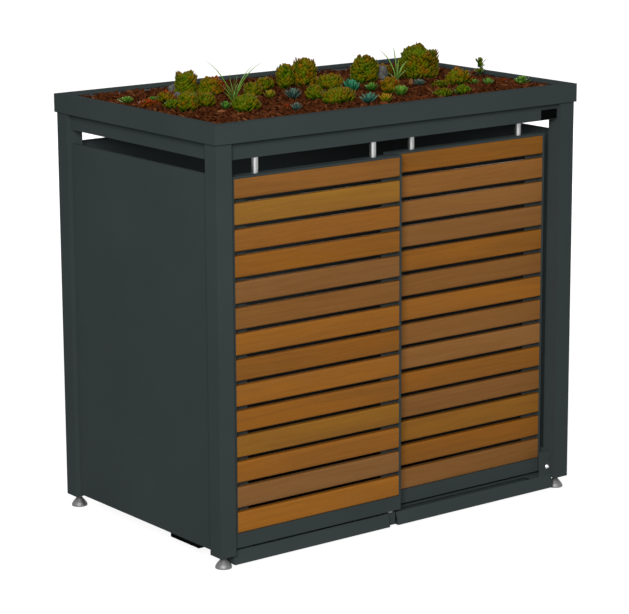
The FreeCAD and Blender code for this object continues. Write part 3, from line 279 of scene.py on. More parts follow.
def leaf_skin(name, stops, tips, tip_from, roughness):
    """Fleshy leaf: a colour by plant, a second one by plant that comes in at the tip, and painted
    shade at its base.
    """
    made, tree, shader = material(name, roughness, specular=0.05)
    lot, along, plant = toned(tree)
    where = place(tree)
    level = spread(tree, lot, 0.0, 1.0, 0.45, 0.74)
    varied = scaled(tree, ramp(tree, plant, stops), level)
    patch = spread(tree, cloud(tree, where, 160.0, 3.0), 0.0, 1.0, -0.3, 0.3)
    early = spread(tree, lot, 0.0, 1.0, -0.15, 0.15)
    reach = maths(tree, "ADD", along, maths(tree, "ADD", patch, early))
    share = spread(tree, reach, tip_from, tip_from + 0.45, 0.0, 0.92)
    tipped = mix(tree, share, varied, ramp(tree, plant, tips))
    # Painted shade: the base of each leaf is darker, where the leaves crowd together.
    root = mix(tree, spread(tree, along, 0.0, 0.4, 0.65, 0.0), tipped, linear(16, 26, 6))
    tree.links.new(root, shader.inputs["Base Color"])
    shader.inputs["Subsurface Weight"].default_value = 0.06
    shader.inputs["Subsurface Radius"].default_value = (0.003, 0.004, 0.001)
    bump(tree, shader, cloud(tree, where, 700.0, 3.0), 0.0003, 0.4)
    return made


def stone_face():
    made, tree, shader = material("grey_stone", 0.8, specular=0.3)
    where = place(tree)
    grain = cloud(tree, where, 90.0, 6.0, 0.65)
    spots = put(tree, "TexVoronoi", {"Vector": where, "Scale": 260.0}).outputs[0]
    body = ramp(tree, grain, ((0.3, linear(42, 42, 40)), (0.52, linear(82, 81, 78)),
                              (0.75, linear(118, 115, 110))))
    tree.links.new(mix(tree, spread(tree, spots, 0.0, 0.35, 0.35, 0.0), body,
                       linear(52, 52, 52)), shader.inputs["Base Color"])
    bump(tree, shader, grain, 0.0016)
    return made


finishes = {
    "powder_coat": powder_coat(),
    "track_steel": brushed("track_steel", linear(150, 154, 156), 0.42, (20.0, 900.0, 900.0)),
    "stainless_steel": brushed("stainless_steel", linear(164, 165, 164), 0.42,
                               (900.0, 900.0, 30.0)),
    "foot_steel": brushed("foot_steel", linear(120, 121, 120), 0.55, (900.0, 900.0, 30.0)),
    "bolt_steel": brushed("bolt_steel", linear(206, 208, 208), 0.34, (500.0, 500.0, 500.0)),
    "screw_steel": brushed("screw_steel", linear(168, 170, 172), 0.38, (500.0, 500.0, 500.0)),
    "nylon": plain_plastic("nylon", linear(196, 194, 184), linear(214, 212, 204), 0.45),
    "stop_rubber": plain_plastic("stop_rubber", linear(22, 22, 23), linear(34, 34, 35), 0.8),
    "tray_aluminium": brushed("tray_aluminium", linear(190, 192, 194), 0.6,
                              (12.0, 300.0, 300.0)),
    "mat_plastic": plain_plastic("mat_plastic", linear(20, 20, 20), linear(36, 36, 34), 0.7,
                                 110.0, 0.0008),
    "substrate_stone": plain_plastic("substrate_stone", linear(58, 40, 30),
                                     linear(104, 76, 58), 0.95, 140.0, 0.002),
    # Near black; on the ground anchors this near-black is also painted shade, the shade under the
    # side panels.
    "plate_black": plain_plastic("plate_black", linear(6, 7, 7), linear(11, 12, 12), 0.6,
                                 25.0, 0.00005, 0.0),
    "bark": bark(),
    "sedum_leaf": leaf_skin("sedum_leaf", (
        (0.0, linear(46, 92, 4)), (0.35, linear(60, 92, 2)), (0.7, linear(90, 80, 2)),
        (1.0, linear(122, 42, 6))), (
        (0.0, linear(84, 106, 2)), (0.35, linear(100, 96, 2)), (0.7, linear(126, 80, 4)),
        (1.0, linear(144, 52, 8))), 0.55, 0.55),
    "rosette_leaf": leaf_skin("rosette_leaf", (
        (0.0, linear(106, 112, 12)), (0.14, linear(104, 116, 20)), (0.32, linear(78, 124, 32)),
        (0.44, linear(52, 110, 32)), (0.58, linear(54, 100, 28)), (0.76, linear(30, 106, 72)),
        (0.84, linear(58, 108, 98)), (0.95, linear(60, 82, 72))), (
        (0.0, linear(160, 112, 20)), (0.14, linear(136, 122, 26)), (0.32, linear(108, 146, 56)),
        (0.58, linear(88, 128, 46)), (0.76, linear(60, 134, 98)), (0.95, linear(104, 124, 112))),
        0.6, 0.5),
    "grass_blade": leaf_skin("grass_blade", (
        (0.0, linear(84, 138, 36)), (1.0, linear(110, 154, 66))), (
        (0.0, linear(116, 158, 62)), (1.0, linear(146, 178, 104))), 0.3, 0.5),
    "grey_stone": stone_face(),
}

slot_of = {entry["node"]: entry["material_slot"] for entry in frame["record"]["subparts"]}
for node_name, cad_object in nodes.items():
    finish = finishes.get("foot_steel" if node_name.startswith("foot_") else slot_of[node_name])
    # The slats, which have no finish here, are replaced below.
    if finish is None:
        continue
    if not cad_object.material_slots:
        cad_object.data.materials.append(finish)
    for slot in cad_object.material_slots:
        slot.material = finish


# Building meshes
class Shape:
    """Points, faces and tones of a piece while it is put together."""

    def __init__(self):
        self.points = []
        self.faces = []
        self.tones = []

    def add(self, points, faces, tones):
        start = len(self.points)
        self.points.extend(points)
        self.faces.extend(tuple(start + index for index in face) for face in faces)
        self.tones.extend(tones)

    def finish(self, name, slot_name, body, stands_for, finish=None, smooth=True):
        """Make the piece, which rides on its body and stands for a CAD node, if one is given."""
        mesh = bpy.data.meshes.new(name)
        mesh.from_pydata(self.points, [], self.faces)
        mesh.validate()
        layer = mesh.color_attributes.new("tone", "FLOAT_COLOR", "POINT")
        for index, tone in enumerate(self.tones):
            layer.data[index].color = (*tone, 1.0)
        mesh.polygons.foreach_set("use_smooth", [smooth] * len(mesh.polygons))
        mesh.materials.append(finish or finishes[slot_name])
        piece = bpy.data.objects.new(name, mesh)
        bpy.context.scene.collection.objects.link(piece)
        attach(piece, body)
        if stands_for:
            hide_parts(stands_for)
        return piece


def corners_of(points):
    """Lowest and highest corner of the box around some points."""
    return (Vector([min(point[axis] for point in points) for axis in range(3)]),
            Vector([max(point[axis] for point in points) for axis in range(3)]))


def islands(node):
    """Lowest and highest corner of each separate solid of a CAD node, from left to right."""
    work = bmesh.new()
    work.from_mesh(nodes[node].data)
    bmesh.ops.remove_doubles(work, verts=work.verts, dist=1e-5)
    left = set(work.verts)
    found = []
    while left:
        group = []
        queue = [left.pop()]
        while queue:
            vertex = queue.pop()
            group.append(vertex.co.copy())
            for edge in vertex.link_edges:
                other = edge.other_vert(vertex)
                if other in left:
                    left.remove(other)
                    queue.append(other)
        found.append(corners_of(group))
    work.free()
    return sorted(found, key=lambda box: (round(box[0].x + box[1].x, 3), box[0].y))


# Slats with rounded edges
FRONT_ROUND = 0.0066
BACK_ROUND = 0.002
END_ROUND = 0.0012
ARC_STEPS = 5
LEAST_ROUND = 0.0002


def slat_ring(front, back, low, high, inset):
    """Section of a slat as points in Y and Z, anticlockwise seen from the right."""
    ring = []
    corners = ((front, low, FRONT_ROUND, 180), (back, low, BACK_ROUND, 270),
               (back, high, BACK_ROUND, 0), (front, high, FRONT_ROUND, 90))
    for y, z, radius, start in corners:
        y_side = -1 if y == front else 1
        z_side = -1 if z == low else 1
        middle_y = y - y_side * radius
        middle_z = z - z_side * radius
        small = max(radius - inset, LEAST_ROUND)
        for step in range(ARC_STEPS + 1):
            angle = math.radians(start + 90 * step / ARC_STEPS)
            ring.append((middle_y + small * math.cos(angle), middle_z + small * math.sin(angle)))
    return ring


def door_slats(prefix, finish):
    low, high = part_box(prefix + "_slats")
    shape = Shape()
    stations = ((low.x, END_ROUND), (low.x + END_ROUND, 0.0), (low.x + 2 * END_ROUND, 0.0),
                (high.x - 2 * END_ROUND, 0.0), (high.x - END_ROUND, 0.0), (high.x, END_ROUND))
    for number in range(SLATS):
        base = low.z + number * slat_pitch
        points = []
        for x, inset in stations:
            points += [(x, y, z) for y, z in slat_ring(low.y, high.y, base, base + slat_height,
                                                       inset)]
        size = len(points) // len(stations)
        faces = [tuple(reversed(range(size))),
                 tuple(range(size * (len(stations) - 1), size * len(stations)))]
        for station in range(len(stations) - 1):
            for index in range(size):
                after = (index + 1) % size
                first = station * size
                faces.append((first + index, first + after, first + size + after,
                              first + size + index))
        shape.add(points, faces, [(0.5, 0.5, 0.5)] * len(points))
    piece = shape.finish(prefix + "_wooden_slats", "slat_wood", prefix, prefix + "_slats", finish)
    piece.data.set_sharp_from_angle(angle=math.radians(50))


door_slats("left_door", wood("wood_left", 3.0))
door_slats("right_door", wood("wood_right", 41.0))


# Bark mulch: a rough bed with loose chips on it. The fascia's lip covers its border.
LIP_DEPTH = 0.009
FLANGE = 0.0305
BED_STEP = 0.0125
BED_DROP = 0.01
BED_MARGIN = 0.001
CHIP_SIDES = 8
# Layers of chips: height over the CAD bed's top, count and middle size.
CHIP_LAYERS = ((-0.007, 2600, 0.03), (-0.004, 2900, 0.027), (-0.001, 1500, 0.024))
CHIP_OVERLAP = 0.004
CHIP_LEAN = 0.5
RIM_LEAN = 0.12
BED_BUMPS = 0.004
BED_BUMP_SCALE = 22
HEAPS = 0.003
HEAP_SCALE = 9
lip_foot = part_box("roof_fascia_front")[1].z - LIP_DEPTH
bed_low, bed_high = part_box("bark_mulch")
open_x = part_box("roof_fascia_right")[1].x - FLANGE
open_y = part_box("roof_fascia_back")[1].y - FLANGE


def bed_height(x, y):
    """Top of the bed under the loose chips."""
    spot = Vector((x * BED_BUMP_SCALE, y * BED_BUMP_SCALE, 0.3))
    return bed_high.z - BED_DROP + BED_BUMPS * noise.noise(spot)


def chip(shape, rng, x, y, z, size):
    """A flat splinter of bark with a ragged outline, bent and tilted."""
    length = size * rng.uniform(0.75, 1.3)
    width = size * rng.uniform(0.25, 0.5)
    thick = size * rng.uniform(0.07, 0.15)
    turn = Matrix.Rotation(rng.uniform(0, math.tau), 3, "Z")
    near_rim = max(abs(x) + length / 2 - open_x, abs(y) + length / 2 - open_y) > 0
    lean = RIM_LEAN if near_rim else CHIP_LEAN
    turn = turn @ Matrix.Rotation(rng.gauss(0, lean), 3, "Y")
    turn = turn @ Matrix.Rotation(rng.gauss(0, lean * 1.2), 3, "X")
    bend = rng.uniform(-0.25, 0.25) * size
    middle = Vector((x, y, z))
    rings = []
    for level, inset in ((-0.5, 0.86), (0.5, 1.0)):
        ring = []
        for index in range(CHIP_SIDES):
            angle = math.tau * index / CHIP_SIDES
            along = math.copysign(abs(math.cos(angle)) ** 0.7, math.cos(angle)) * length / 2
            across = math.copysign(abs(math.sin(angle)) ** 0.8, math.sin(angle)) * width / 2
            ring.append([along * inset, across * inset, level * thick])
        rings.append(ring)
    ragged = [(rng.uniform(0.72, 1.12), rng.uniform(0.7, 1.2)) for index in range(CHIP_SIDES)]
    points = []
    for ring in rings:
        for (along, across, up), (stretch, widen) in zip(ring, ragged):
            local = Vector((along * stretch, across * widen,
                            up + bend * (along / length) ** 2))
            point = middle + turn @ local
            point.x = min(max(point.x, bed_low.x + BED_MARGIN), bed_high.x - BED_MARGIN)
            point.y = min(max(point.y, bed_low.y + BED_MARGIN), bed_high.y - BED_MARGIN)
            if abs(point.x) > open_x or abs(point.y) > open_y:
                point.z = min(point.z, lip_foot - BED_MARGIN / 2)
            points.append(point)
    faces = [tuple(reversed(range(CHIP_SIDES))), tuple(range(CHIP_SIDES, 2 * CHIP_SIDES))]
    for index in range(CHIP_SIDES):
        after = (index + 1) % CHIP_SIDES
        faces.append((index, after, CHIP_SIDES + after, CHIP_SIDES + index))
    lot = min(max(rng.gauss(0.5, 0.22), 0.0), 1.0)
    # The second tone is how high the chip lies, from which bark() paints shade.
    shade = min(max((z - bed_high.z + 0.013) / 0.012, 0.0), 1.0)
    shape.add(points, faces, [(lot, 0.35 + 0.65 * shade, 0.5)] * len(points))


def bed(shape):
    """A rough top with straight sides and a flat underside."""
    columns = int((bed_high.x - bed_low.x) / BED_STEP)
    rows = int((bed_high.y - bed_low.y) / BED_STEP)
    points = []
    tones = []
    for row in range(rows + 1):
        for column in range(columns + 1):
            x = bed_low.x + (bed_high.x - bed_low.x) * column / columns
            y = bed_low.y + (bed_high.y - bed_low.y) * row / rows
            points.append((x, y, bed_height(x, y)))
            # A low second tone: the bed gets the painted shade of the deepest chips.
            tones.append((0.2, 0.1, 0.5))
    wide = columns + 1
    faces = []
    for row in range(rows):
        for column in range(columns):
            first = row * wide + column
            faces.append((first, first + 1, first + wide + 1, first + wide))
    border = (list(range(wide))
              + [row * wide + columns for row in range(1, rows + 1)]
              + [rows * wide + column for column in range(columns - 1, -1, -1)]
              + [row * wide for row in range(rows - 1, 0, -1)])
    foot = len(points)
    for index in border:
        points.append((points[index][0], points[index][1], bed_low.z))
        tones.append((0.2, 0.0, 0.5))
    for index in range(len(border)):
        after = (index + 1) % len(border)
        faces.append((border[index], foot + index, foot + after, border[after]))
    faces.append(tuple(foot + index for index in reversed(range(len(border)))))
    shape.add(points, faces, tones)


def mulch():
    rng = random.Random(11)
    shape = Shape()
    bed(shape)
    reach_x = open_x + CHIP_OVERLAP
    reach_y = open_y + CHIP_OVERLAP
    for lift, count, size in CHIP_LAYERS:
        for number in range(count):
            x = rng.uniform(-reach_x, reach_x)
            y = rng.uniform(-reach_y, reach_y)
            heap = HEAPS * noise.noise(Vector((x * HEAP_SCALE, y * HEAP_SCALE, 4.7)))
            chip(shape, rng, x, y, bed_high.z + lift + heap + rng.uniform(-0.002, 0.002),
                 size * rng.uniform(0.7, 1.35))
    shape.finish("bark_chips", "bark", "frame", "bark_mulch", smooth=False)


mulch()

# Leaf outlines. Each row is a share of the length, of the width and of the thickness.
BLUNT = ((0.0, 0.42, 0.7), (0.28, 0.66, 0.95), (0.54, 0.96, 1.0), (0.74, 1.0, 0.9),
         (0.92, 0.56, 0.6))
POINTED = ((0.0, 0.5, 0.8), (0.25, 0.8, 1.0), (0.5, 1.0, 0.95), (0.76, 0.8, 0.7),
           (0.93, 0.36, 0.4))
SPEAR = ((0.0, 0.8, 0.9), (0.3, 1.0, 1.0), (0.55, 0.85, 0.9), (0.78, 0.55, 0.6),
         (0.94, 0.2, 0.3))
LEAF_SIDES = 6
GOLDEN_TURN = math.pi * (3 - math.sqrt(5))


def leaf(shape, base, turn, around, tilt, curl, length, width, thick, outline, lot, plant):
    """A fleshy leaf. It leaves its base at tilt from the axis and curls up along its length."""
    ray = Vector((math.cos(around), math.sin(around), 0))
    side = Vector((-math.sin(around), math.cos(around), 0))
    up = Vector((0, 0, 1))
    points = []
    tones = []
    centre = Vector((0, 0, 0))
    before = 0.0
    for share, wide, deep in outline + ((1.0, 0.0, 0.0),):
        angle = tilt - curl * (share + before) / 2
        whole = (ray * math.sin(angle) + up * math.cos(angle)) * length
        centre = centre + whole * (share - before)
        before = share
        facing = ray * math.cos(angle) - up * math.sin(angle)
        if wide == 0:
            points.append(base + turn @ centre)
            tones.append((lot, 1.0, plant))
            continue
        for index in range(LEAF_SIDES):
            theta = math.tau * index / LEAF_SIDES
            hollow = 0.25 if math.sin(theta) < 0 else 1.0
            point = (centre + side * (math.cos(theta) * wide * width / 2)
                     + facing * (math.sin(theta) * deep * thick / 2 * hollow))
            points.append(base + turn @ point)
            tones.append((lot, share, plant))
    rings = len(outline)
    faces = [tuple(range(LEAF_SIDES))]
    for ring in range(rings - 1):
        for index in range(LEAF_SIDES):
            after = (index + 1) % LEAF_SIDES
            first = ring * LEAF_SIDES
            faces.append((first + index, first + LEAF_SIDES + index,
                          first + LEAF_SIDES + after, first + after))
    last = (rings - 1) * LEAF_SIDES
    for index in range(LEAF_SIDES):
        faces.append((last + index, rings * LEAF_SIDES, last + (index + 1) % LEAF_SIDES))
    shape.add(points, faces, tones)


def rosette(shape, rng, middle, axis, leaves, length, width, outline, opening, curl, plant):
    """Leaves in a spiral about an axis, upright in the middle and open outside."""
    turn = axis.to_track_quat("Z", "Y").to_matrix()
    start = rng.uniform(0, math.tau)
    for number in range(leaves):
        share = (number + 0.5) / leaves
        around = start + number * GOLDEN_TURN
        tilt = opening[0] + (opening[1] - opening[0]) * share ** 0.75 + rng.gauss(0, 0.06)
        size = length * (0.55 + 0.45 * math.sqrt(share)) * rng.uniform(0.9, 1.08)
        ray = Vector((math.cos(around), math.sin(around), 0))
        base = middle + turn @ (ray * width * 0.35 * share
                                - Vector((0, 0, 1)) * length * 0.3 * share)
        leaf(shape, base, turn, around, tilt, curl * rng.uniform(0.7, 1.2), size,
             width * (0.7 + 0.3 * share) * rng.uniform(0.9, 1.1), width * 0.36, outline,
             rng.uniform(0, 1), plant)


def fill_box(shape, plant, low, high):
    """Add a plant that was built about its own root, stretched to fill its box."""
    least, most = corners_of(plant.points)
    points = []
    for point in plant.points:
        share_x = (point.x - least.x) / (most.x - least.x)
        share_y = (point.y - least.y) / (most.y - least.y)
        share_z = point.z / most.z
        points.append(Vector((low.x + share_x * (high.x - low.x),
                              low.y + share_y * (high.y - low.y),
                              low.z + share_z * (high.z - low.z))))
    shape.add(points, plant.faces, plant.tones)


# Sedum bushes from left to right: how square the bush is (2 is a dome), and how far its left
# and its right side are from green to orange red.
BUSH_FORMS = {
    "sun": (2.0, 0.9, 1.0), "corner": (5.0, 0.3, 0.4), "spread": (2.4, 0.15, 0.25),
    "low": (2.4, 0.35, 0.85), "olive": (3.0, 0.25, 0.4), "front": (2.4, 0.2, 0.35),
    "mound": (5.0, 0.3, 0.45), "ridge": (2.6, 0.2, 0.95), "berry": (2.0, 1.0, 1.0),
    "inner": (2.4, 0.3, 0.4), "amber": (2.4, 0.25, 0.35), "carpet": (2.4, 0.3, 0.45),
    "rear": (2.4, 0.3, 0.4), "pillar": (5.0, 0.3, 0.4), "tower": (5.0, 0.4, 0.55),
    "middle": (2.6, 0.3, 0.45), "gold": (2.4, 0.5, 0.6), "edge": (2.4, 0.25, 0.3),
    "hill": (3.0, 0.25, 0.4), "tip": (2.2, 0.1, 0.1), "amberside": (2.4, 0.3, 0.35),
    "shade": (2.4, 0.5, 0.6), "giant": (3.4, 0.3, 0.45), "round": (2.4, 0.35, 0.5),
    "ember": (2.0, 1.0, 1.0), "spot": (2.0, 1.0, 1.0),
}
LEAF_LENGTH = 0.032
LEAF_WIDTH_SHARE = 0.44
LEAF_THICKNESS_SHARE = 0.17
LEAF_AREA = 0.00009
LEAST_LEAVES = 14
LUMP_SCALE = 2.9
BUSH_SPREAD = 0.005
RIM_ROOM = 0.002


def bush(plant, rng, size, square, warm):
    """Upright leaves all over a rounded block, in lumps like the heads of the plant."""
    length = min(LEAF_LENGTH, size.z * 0.6)
    flat = Matrix.Identity(3)
    surface = size.x * size.y + (size.x + size.y) * size.z
    count = max(LEAST_LEAVES, round(surface / LEAF_AREA))
    seed = rng.uniform(0, 50)
    for number in range(count):
        level = 1 - (number + 0.5) / count
        out = math.sqrt(1 - level * level)
        around = number * GOLDEN_TURN
        ray = Vector((out * math.cos(around), out * math.sin(around), level))
        reach = (out ** square + level ** square) ** (-1 / square)
        lump = noise.noise(Vector((ray.x * LUMP_SCALE + seed, ray.y * LUMP_SCALE,
                                   ray.z * LUMP_SCALE)))
        reach *= 0.9 + 0.75 / square * lump + 0.12 * noise.noise(ray * 7 + Vector((0, seed, 0)))
        crown = Vector((ray.x * reach * size.x / 2, ray.y * reach * size.y / 2,
                        length * 0.5 + ray.z * reach * (size.z - length * 0.5)))
        tilt = 0.08 + 0.7 * out ** 2 + rng.gauss(0, 0.14)
        turned = around + rng.gauss(0, 0.3)
        along = Vector((math.sin(tilt) * math.cos(turned), math.sin(tilt) * math.sin(turned),
                        math.cos(tilt)))
        across = ray.x * reach / 2 + 0.5
        tone = warm[0] + (warm[1] - warm[0]) * across + 0.5 * lump + rng.gauss(0, 0.06)
        size_now = length * rng.uniform(0.85, 1.1)
        leaf(plant, crown - along * size_now, flat, turned, tilt + 0.15, 0.3, size_now,
             length * LEAF_WIDTH_SHARE, length * LEAF_THICKNESS_SHARE, BLUNT, rng.uniform(0, 1),
             min(max(tone, 0.0), 1.0))


def bushes():
    rng = random.Random(23)
    shape = Shape()
    room_x = open_x - RIM_ROOM
    room_y = open_y - RIM_ROOM
    for (low, high), (square, *warm) in zip(islands("sedum_bushes"), BUSH_FORMS.values()):
        plant = Shape()
        bush(plant, rng, high - low, square, warm)
        wide_low = Vector((max(low.x - BUSH_SPREAD, -room_x), max(low.y - BUSH_SPREAD, -room_y),
                           low.z))
        wide_high = Vector((min(high.x + BUSH_SPREAD, room_x), min(high.y + BUSH_SPREAD, room_y),
                            high.z))
        fill_box(shape, plant, wide_low, wide_high)
    shape.finish("sedum_plants", "sedum_leaf", "frame", "sedum_bushes")


bushes()

# Rosette plants from left to right: hue from yellow green to grey blue, leaf outline, count of
# leaves and how far the outer leaves open.
ROSETTE_FORMS = {
    "outer": (0.32, POINTED, 20, 1.1), "seedling": (0.44, POINTED, 12, 0.9),
    "foot": (0.57, POINTED, 20, 1.0), "grey": (0.94, SPEAR, 22, 1.1),
    "lime": (0.1, POINTED, 16, 0.9), "blue": (0.92, SPEAR, 26, 1.1),
    "sea": (0.83, SPEAR, 26, 1.05), "yellow": (0.0, POINTED, 18, 0.9),
    "teal": (0.76, POINTED, 26, 0.95), "mint": (0.5, POINTED, 20, 1.0),
    "leaf": (0.34, POINTED, 20, 0.9), "slate": (0.94, SPEAR, 22, 1.15),
    "spark": (0.34, POINTED, 12, 1.1), "bright": (0.36, POINTED, 18, 1.1),
    "pale": (0.32, POINTED, 22, 1.15),
}
WIDTH_SHARES = {POINTED: 0.42, SPEAR: 0.34}


def rosettes():
    rng = random.Random(5)
    shape = Shape()
    for (low, high), form in zip(islands("rosette_plants"), ROSETTE_FORMS.values()):
        hue, outline, count, opening = form
        size = high - low
        length = (size.x + size.y) / 4 * 1.15
        plant = Shape()
        rosette(plant, rng, Vector((0, 0, length * 0.3)), Vector((0, 0, 1)), count, length,
                length * WIDTH_SHARES[outline], outline, (0.1, opening), 0.35, hue)
        fill_box(shape, plant, low, high)
    shape.finish("rosettes", "rosette_leaf", "frame", "rosette_plants")


rosettes()

# Grass and the sprig
TWIST = 1.0
BLADE_STEPS = 12
BLADE_WIDTH = 0.003
BELLY_BACK = 0.28
BELLY_UP = 0.2
TIP_WIDTH = 0.0003


def blade(shape, base, tip, belly, width, lot, plant):
    """Grass blade: a thin folded ribbon along a bent line from base to tip."""
    bend = base.lerp(tip, 0.5) + belly
    across = Vector((tip.y - base.y, base.x - tip.x, 0))
    across = across.normalized() if across.length > 1e-4 else Vector((1, 0, 0))
    across.rotate(Matrix.Rotation(TWIST, 3, "Z"))
    points = []
    tones = []
    for step in range(BLADE_STEPS + 1):
        share = step / BLADE_STEPS
        centre = base.lerp(bend, share).lerp(bend.lerp(tip, share), share)
        half = width / 2 * (0.75 + 0.5 * share) * (1 - share ** 3) + TIP_WIDTH / 2
        fold = Vector((0, 0, 0.35 * half))
        points += [centre - across * half, centre - fold, centre + across * half,
                   centre + fold * 0.2]
        tones += [(lot, share, plant)] * 4
    faces = [(3, 2, 1, 0), tuple(4 * BLADE_STEPS + index for index in range(4))]
    for step in range(BLADE_STEPS):
        for index in range(4):
            after = (index + 1) % 4
            first = 4 * step
            faces.append((first + index, first + after, first + 4 + after, first + 4 + index))
    shape.add(points, faces, tones)


# Blades of the two tufts: tip along X, along Y and up from the root, in metres.
LEFT_BLADES = (
    (-0.075, 0.049, 0.135), (-0.009, 0.015, 0.107), (0.008, -0.016, 0.102),
    (0.052, -0.03, 0.114), (0.070, -0.058, 0.128), (-0.025, 0.02, 0.036), (0.02, -0.015, 0.049),
    (0.035, -0.027, 0.026), (-0.007, 0.012, 0.075), (-0.001, -0.006, 0.081),
    (-0.011, 0.021, 0.058), (0.021, -0.029, 0.066), (-0.033, 0.032, 0.06), (0.017, 0.002, 0.06),
)
RIGHT_BLADES = (
    (-0.045, 0.035, 0.104), (-0.009, 0.007, 0.112), (0.029, -0.022, 0.07),
    (-0.016, 0.012, 0.055), (0.017, -0.014, 0.06), (0.028, -0.021, 0.04), (0.008, 0.002, 0.07),
    (-0.024, 0.018, 0.03),
)


def tuft(shape, rng, low, high, tips, taper):
    """Blades from one root, wider by taper the longer they are."""
    middle = (low + high) / 2
    for side, back, up in tips:
        root = Vector((middle.x + rng.gauss(0, 0.003), middle.y + rng.gauss(0, 0.003),
                       low.z - 0.004))
        tip = Vector((middle.x + side, middle.y + back, min(low.z + up, high.z - 0.0005)))
        lean = Vector((side, back, 0))
        blade(shape, root, tip, -BELLY_BACK * lean + Vector((0, 0, BELLY_UP * up)),
              BLADE_WIDTH + taper * up * rng.uniform(0.8, 1.15), rng.uniform(0.3, 1.0),
              rng.uniform(0.0, 1.0))


# Tiers of the sprig: height of its foot, lean along X and Y, least and greatest opening, count of
# leaves.
SPRIG_TIERS = ((0.043, 0.0, 0.0, 0.1, 0.95, 14), (0.030, 0.55, -0.42, 0.1, 0.7, 9),
               (0.013, -0.05, 0.05, 0.75, 1.15, 11))
SPRIG_STEM = 0.05
SPRIG_LEAF = (0.022, 0.0095)


def sprig(shape, low, high):
    """Leafy sprig: a stem with three tiers of leaves."""
    rng = random.Random(77)
    middle = (low + high) / 2
    foot = Vector((middle.x, middle.y, low.z - 0.002))
    top = Vector((middle.x, middle.y, low.z + SPRIG_STEM))
    for aside in (0.0008, -0.0008):
        blade(shape, foot + Vector((aside, -aside, 0)), top, Vector((0.002, aside, 0)), 0.005,
              0.5, 0.3)
    length, width = SPRIG_LEAF
    for height, lean_x, lean_y, least, most, count in SPRIG_TIERS:
        spot = Vector((middle.x, middle.y, low.z + height + length * 0.15))
        rosette(shape, rng, spot, Vector((lean_x, lean_y, 1)).normalized(), count, length, width,
                BLUNT, (least, most), 0.35, 0.3)


def grasses():
    rng = random.Random(9)
    shape = Shape()
    left, right, leafy = islands("grass_tufts")
    tuft(shape, rng, *left, LEFT_BLADES, 0.011)
    tuft(shape, rng, *right, RIGHT_BLADES, 0.022)
    shape.finish("grass_blades", "grass_blade", "frame", "grass_tufts")
    twig = Shape()
    sprig(twig, *leafy)
    twig.finish("leafy_sprig", "sedum_leaf", "frame", None)


grasses()

# Stones: smooth balls pushed in and out by noise, and partly drawn onto flat facets
FACETS = 2.2
ROUND_SHARE = 0.72
FACET_SHARE = 0.25
LUMPS = ((0.28, 1.3, (3.1, 0, 0)), (0.12, 3.5, (0, 5.7, 0)), (0.04, 11.0, (0, 0, 0)))


def rocks():
    shape = Shape()
    for number, (low, high) in enumerate(islands("stones")):
        size = high - low
        middle = (low + high) / 2
        work = bmesh.new()
        bmesh.ops.create_icosphere(work, subdivisions=4, radius=1.0)
        points = []
        for vertex in work.verts:
            way = vertex.co.normalized()
            rough = 1.0
            for height, scale, apart in LUMPS:
                rough += height * noise.noise(way * scale + Vector(apart) * number)
            flat = Vector([round(part * FACETS) / FACETS for part in way])
            spot = (way * ROUND_SHARE + flat * FACET_SHARE) * rough
            points.append(Vector((middle.x + spot.x * size.x / 2,
                                  middle.y + spot.y * size.y / 2,
                                  low.z + size.z * (0.42 + 0.55 * spot.z))))
        faces = [tuple(vertex.index for vertex in face.verts) for face in work.faces]
        work.free()
        shape.add(points, faces, [(0.5, 0.5, 0.5)] * len(points))
    shape.finish("garden_stones", "grey_stone", "frame", "stones")


rocks()

# Floor, light and camera
bpy.context.scene.view_settings.view_transform = "Standard"


def seen_directly(tree):
    """One where the camera, a reflection or clear glass sees the surface."""
    path = put(tree, "LightPath", {})
    seen = maths(tree, "MAXIMUM", path.outputs["Is Camera Ray"], path.outputs["Is Glossy Ray"])
    return maths(tree, "MAXIMUM", seen, path.outputs["Is Transmission Ray"])


FLOOR_HALF = 30.0
NEAR_GLOW = 0.9
FAR_GLOW = 1.0
GLOW_RISE = (1.5, 4.0)
# The floor has a painted shadow: it is dark under the store and past it to the right and back.
# Along X, along Y and aslant, it turns pale from the first number to the second.
PAINTED_SHADOW_X = ((-0.49, -0.57), (0.84, 1.25))
PAINTED_SHADOW_Y = ((-0.27, -0.32), (0.62, 0.95))
PAINTED_SHADOW_ASLANT = ((0.77, 0.81), (-0.77, -0.81))
ASLANT = (0.79, 0.61)


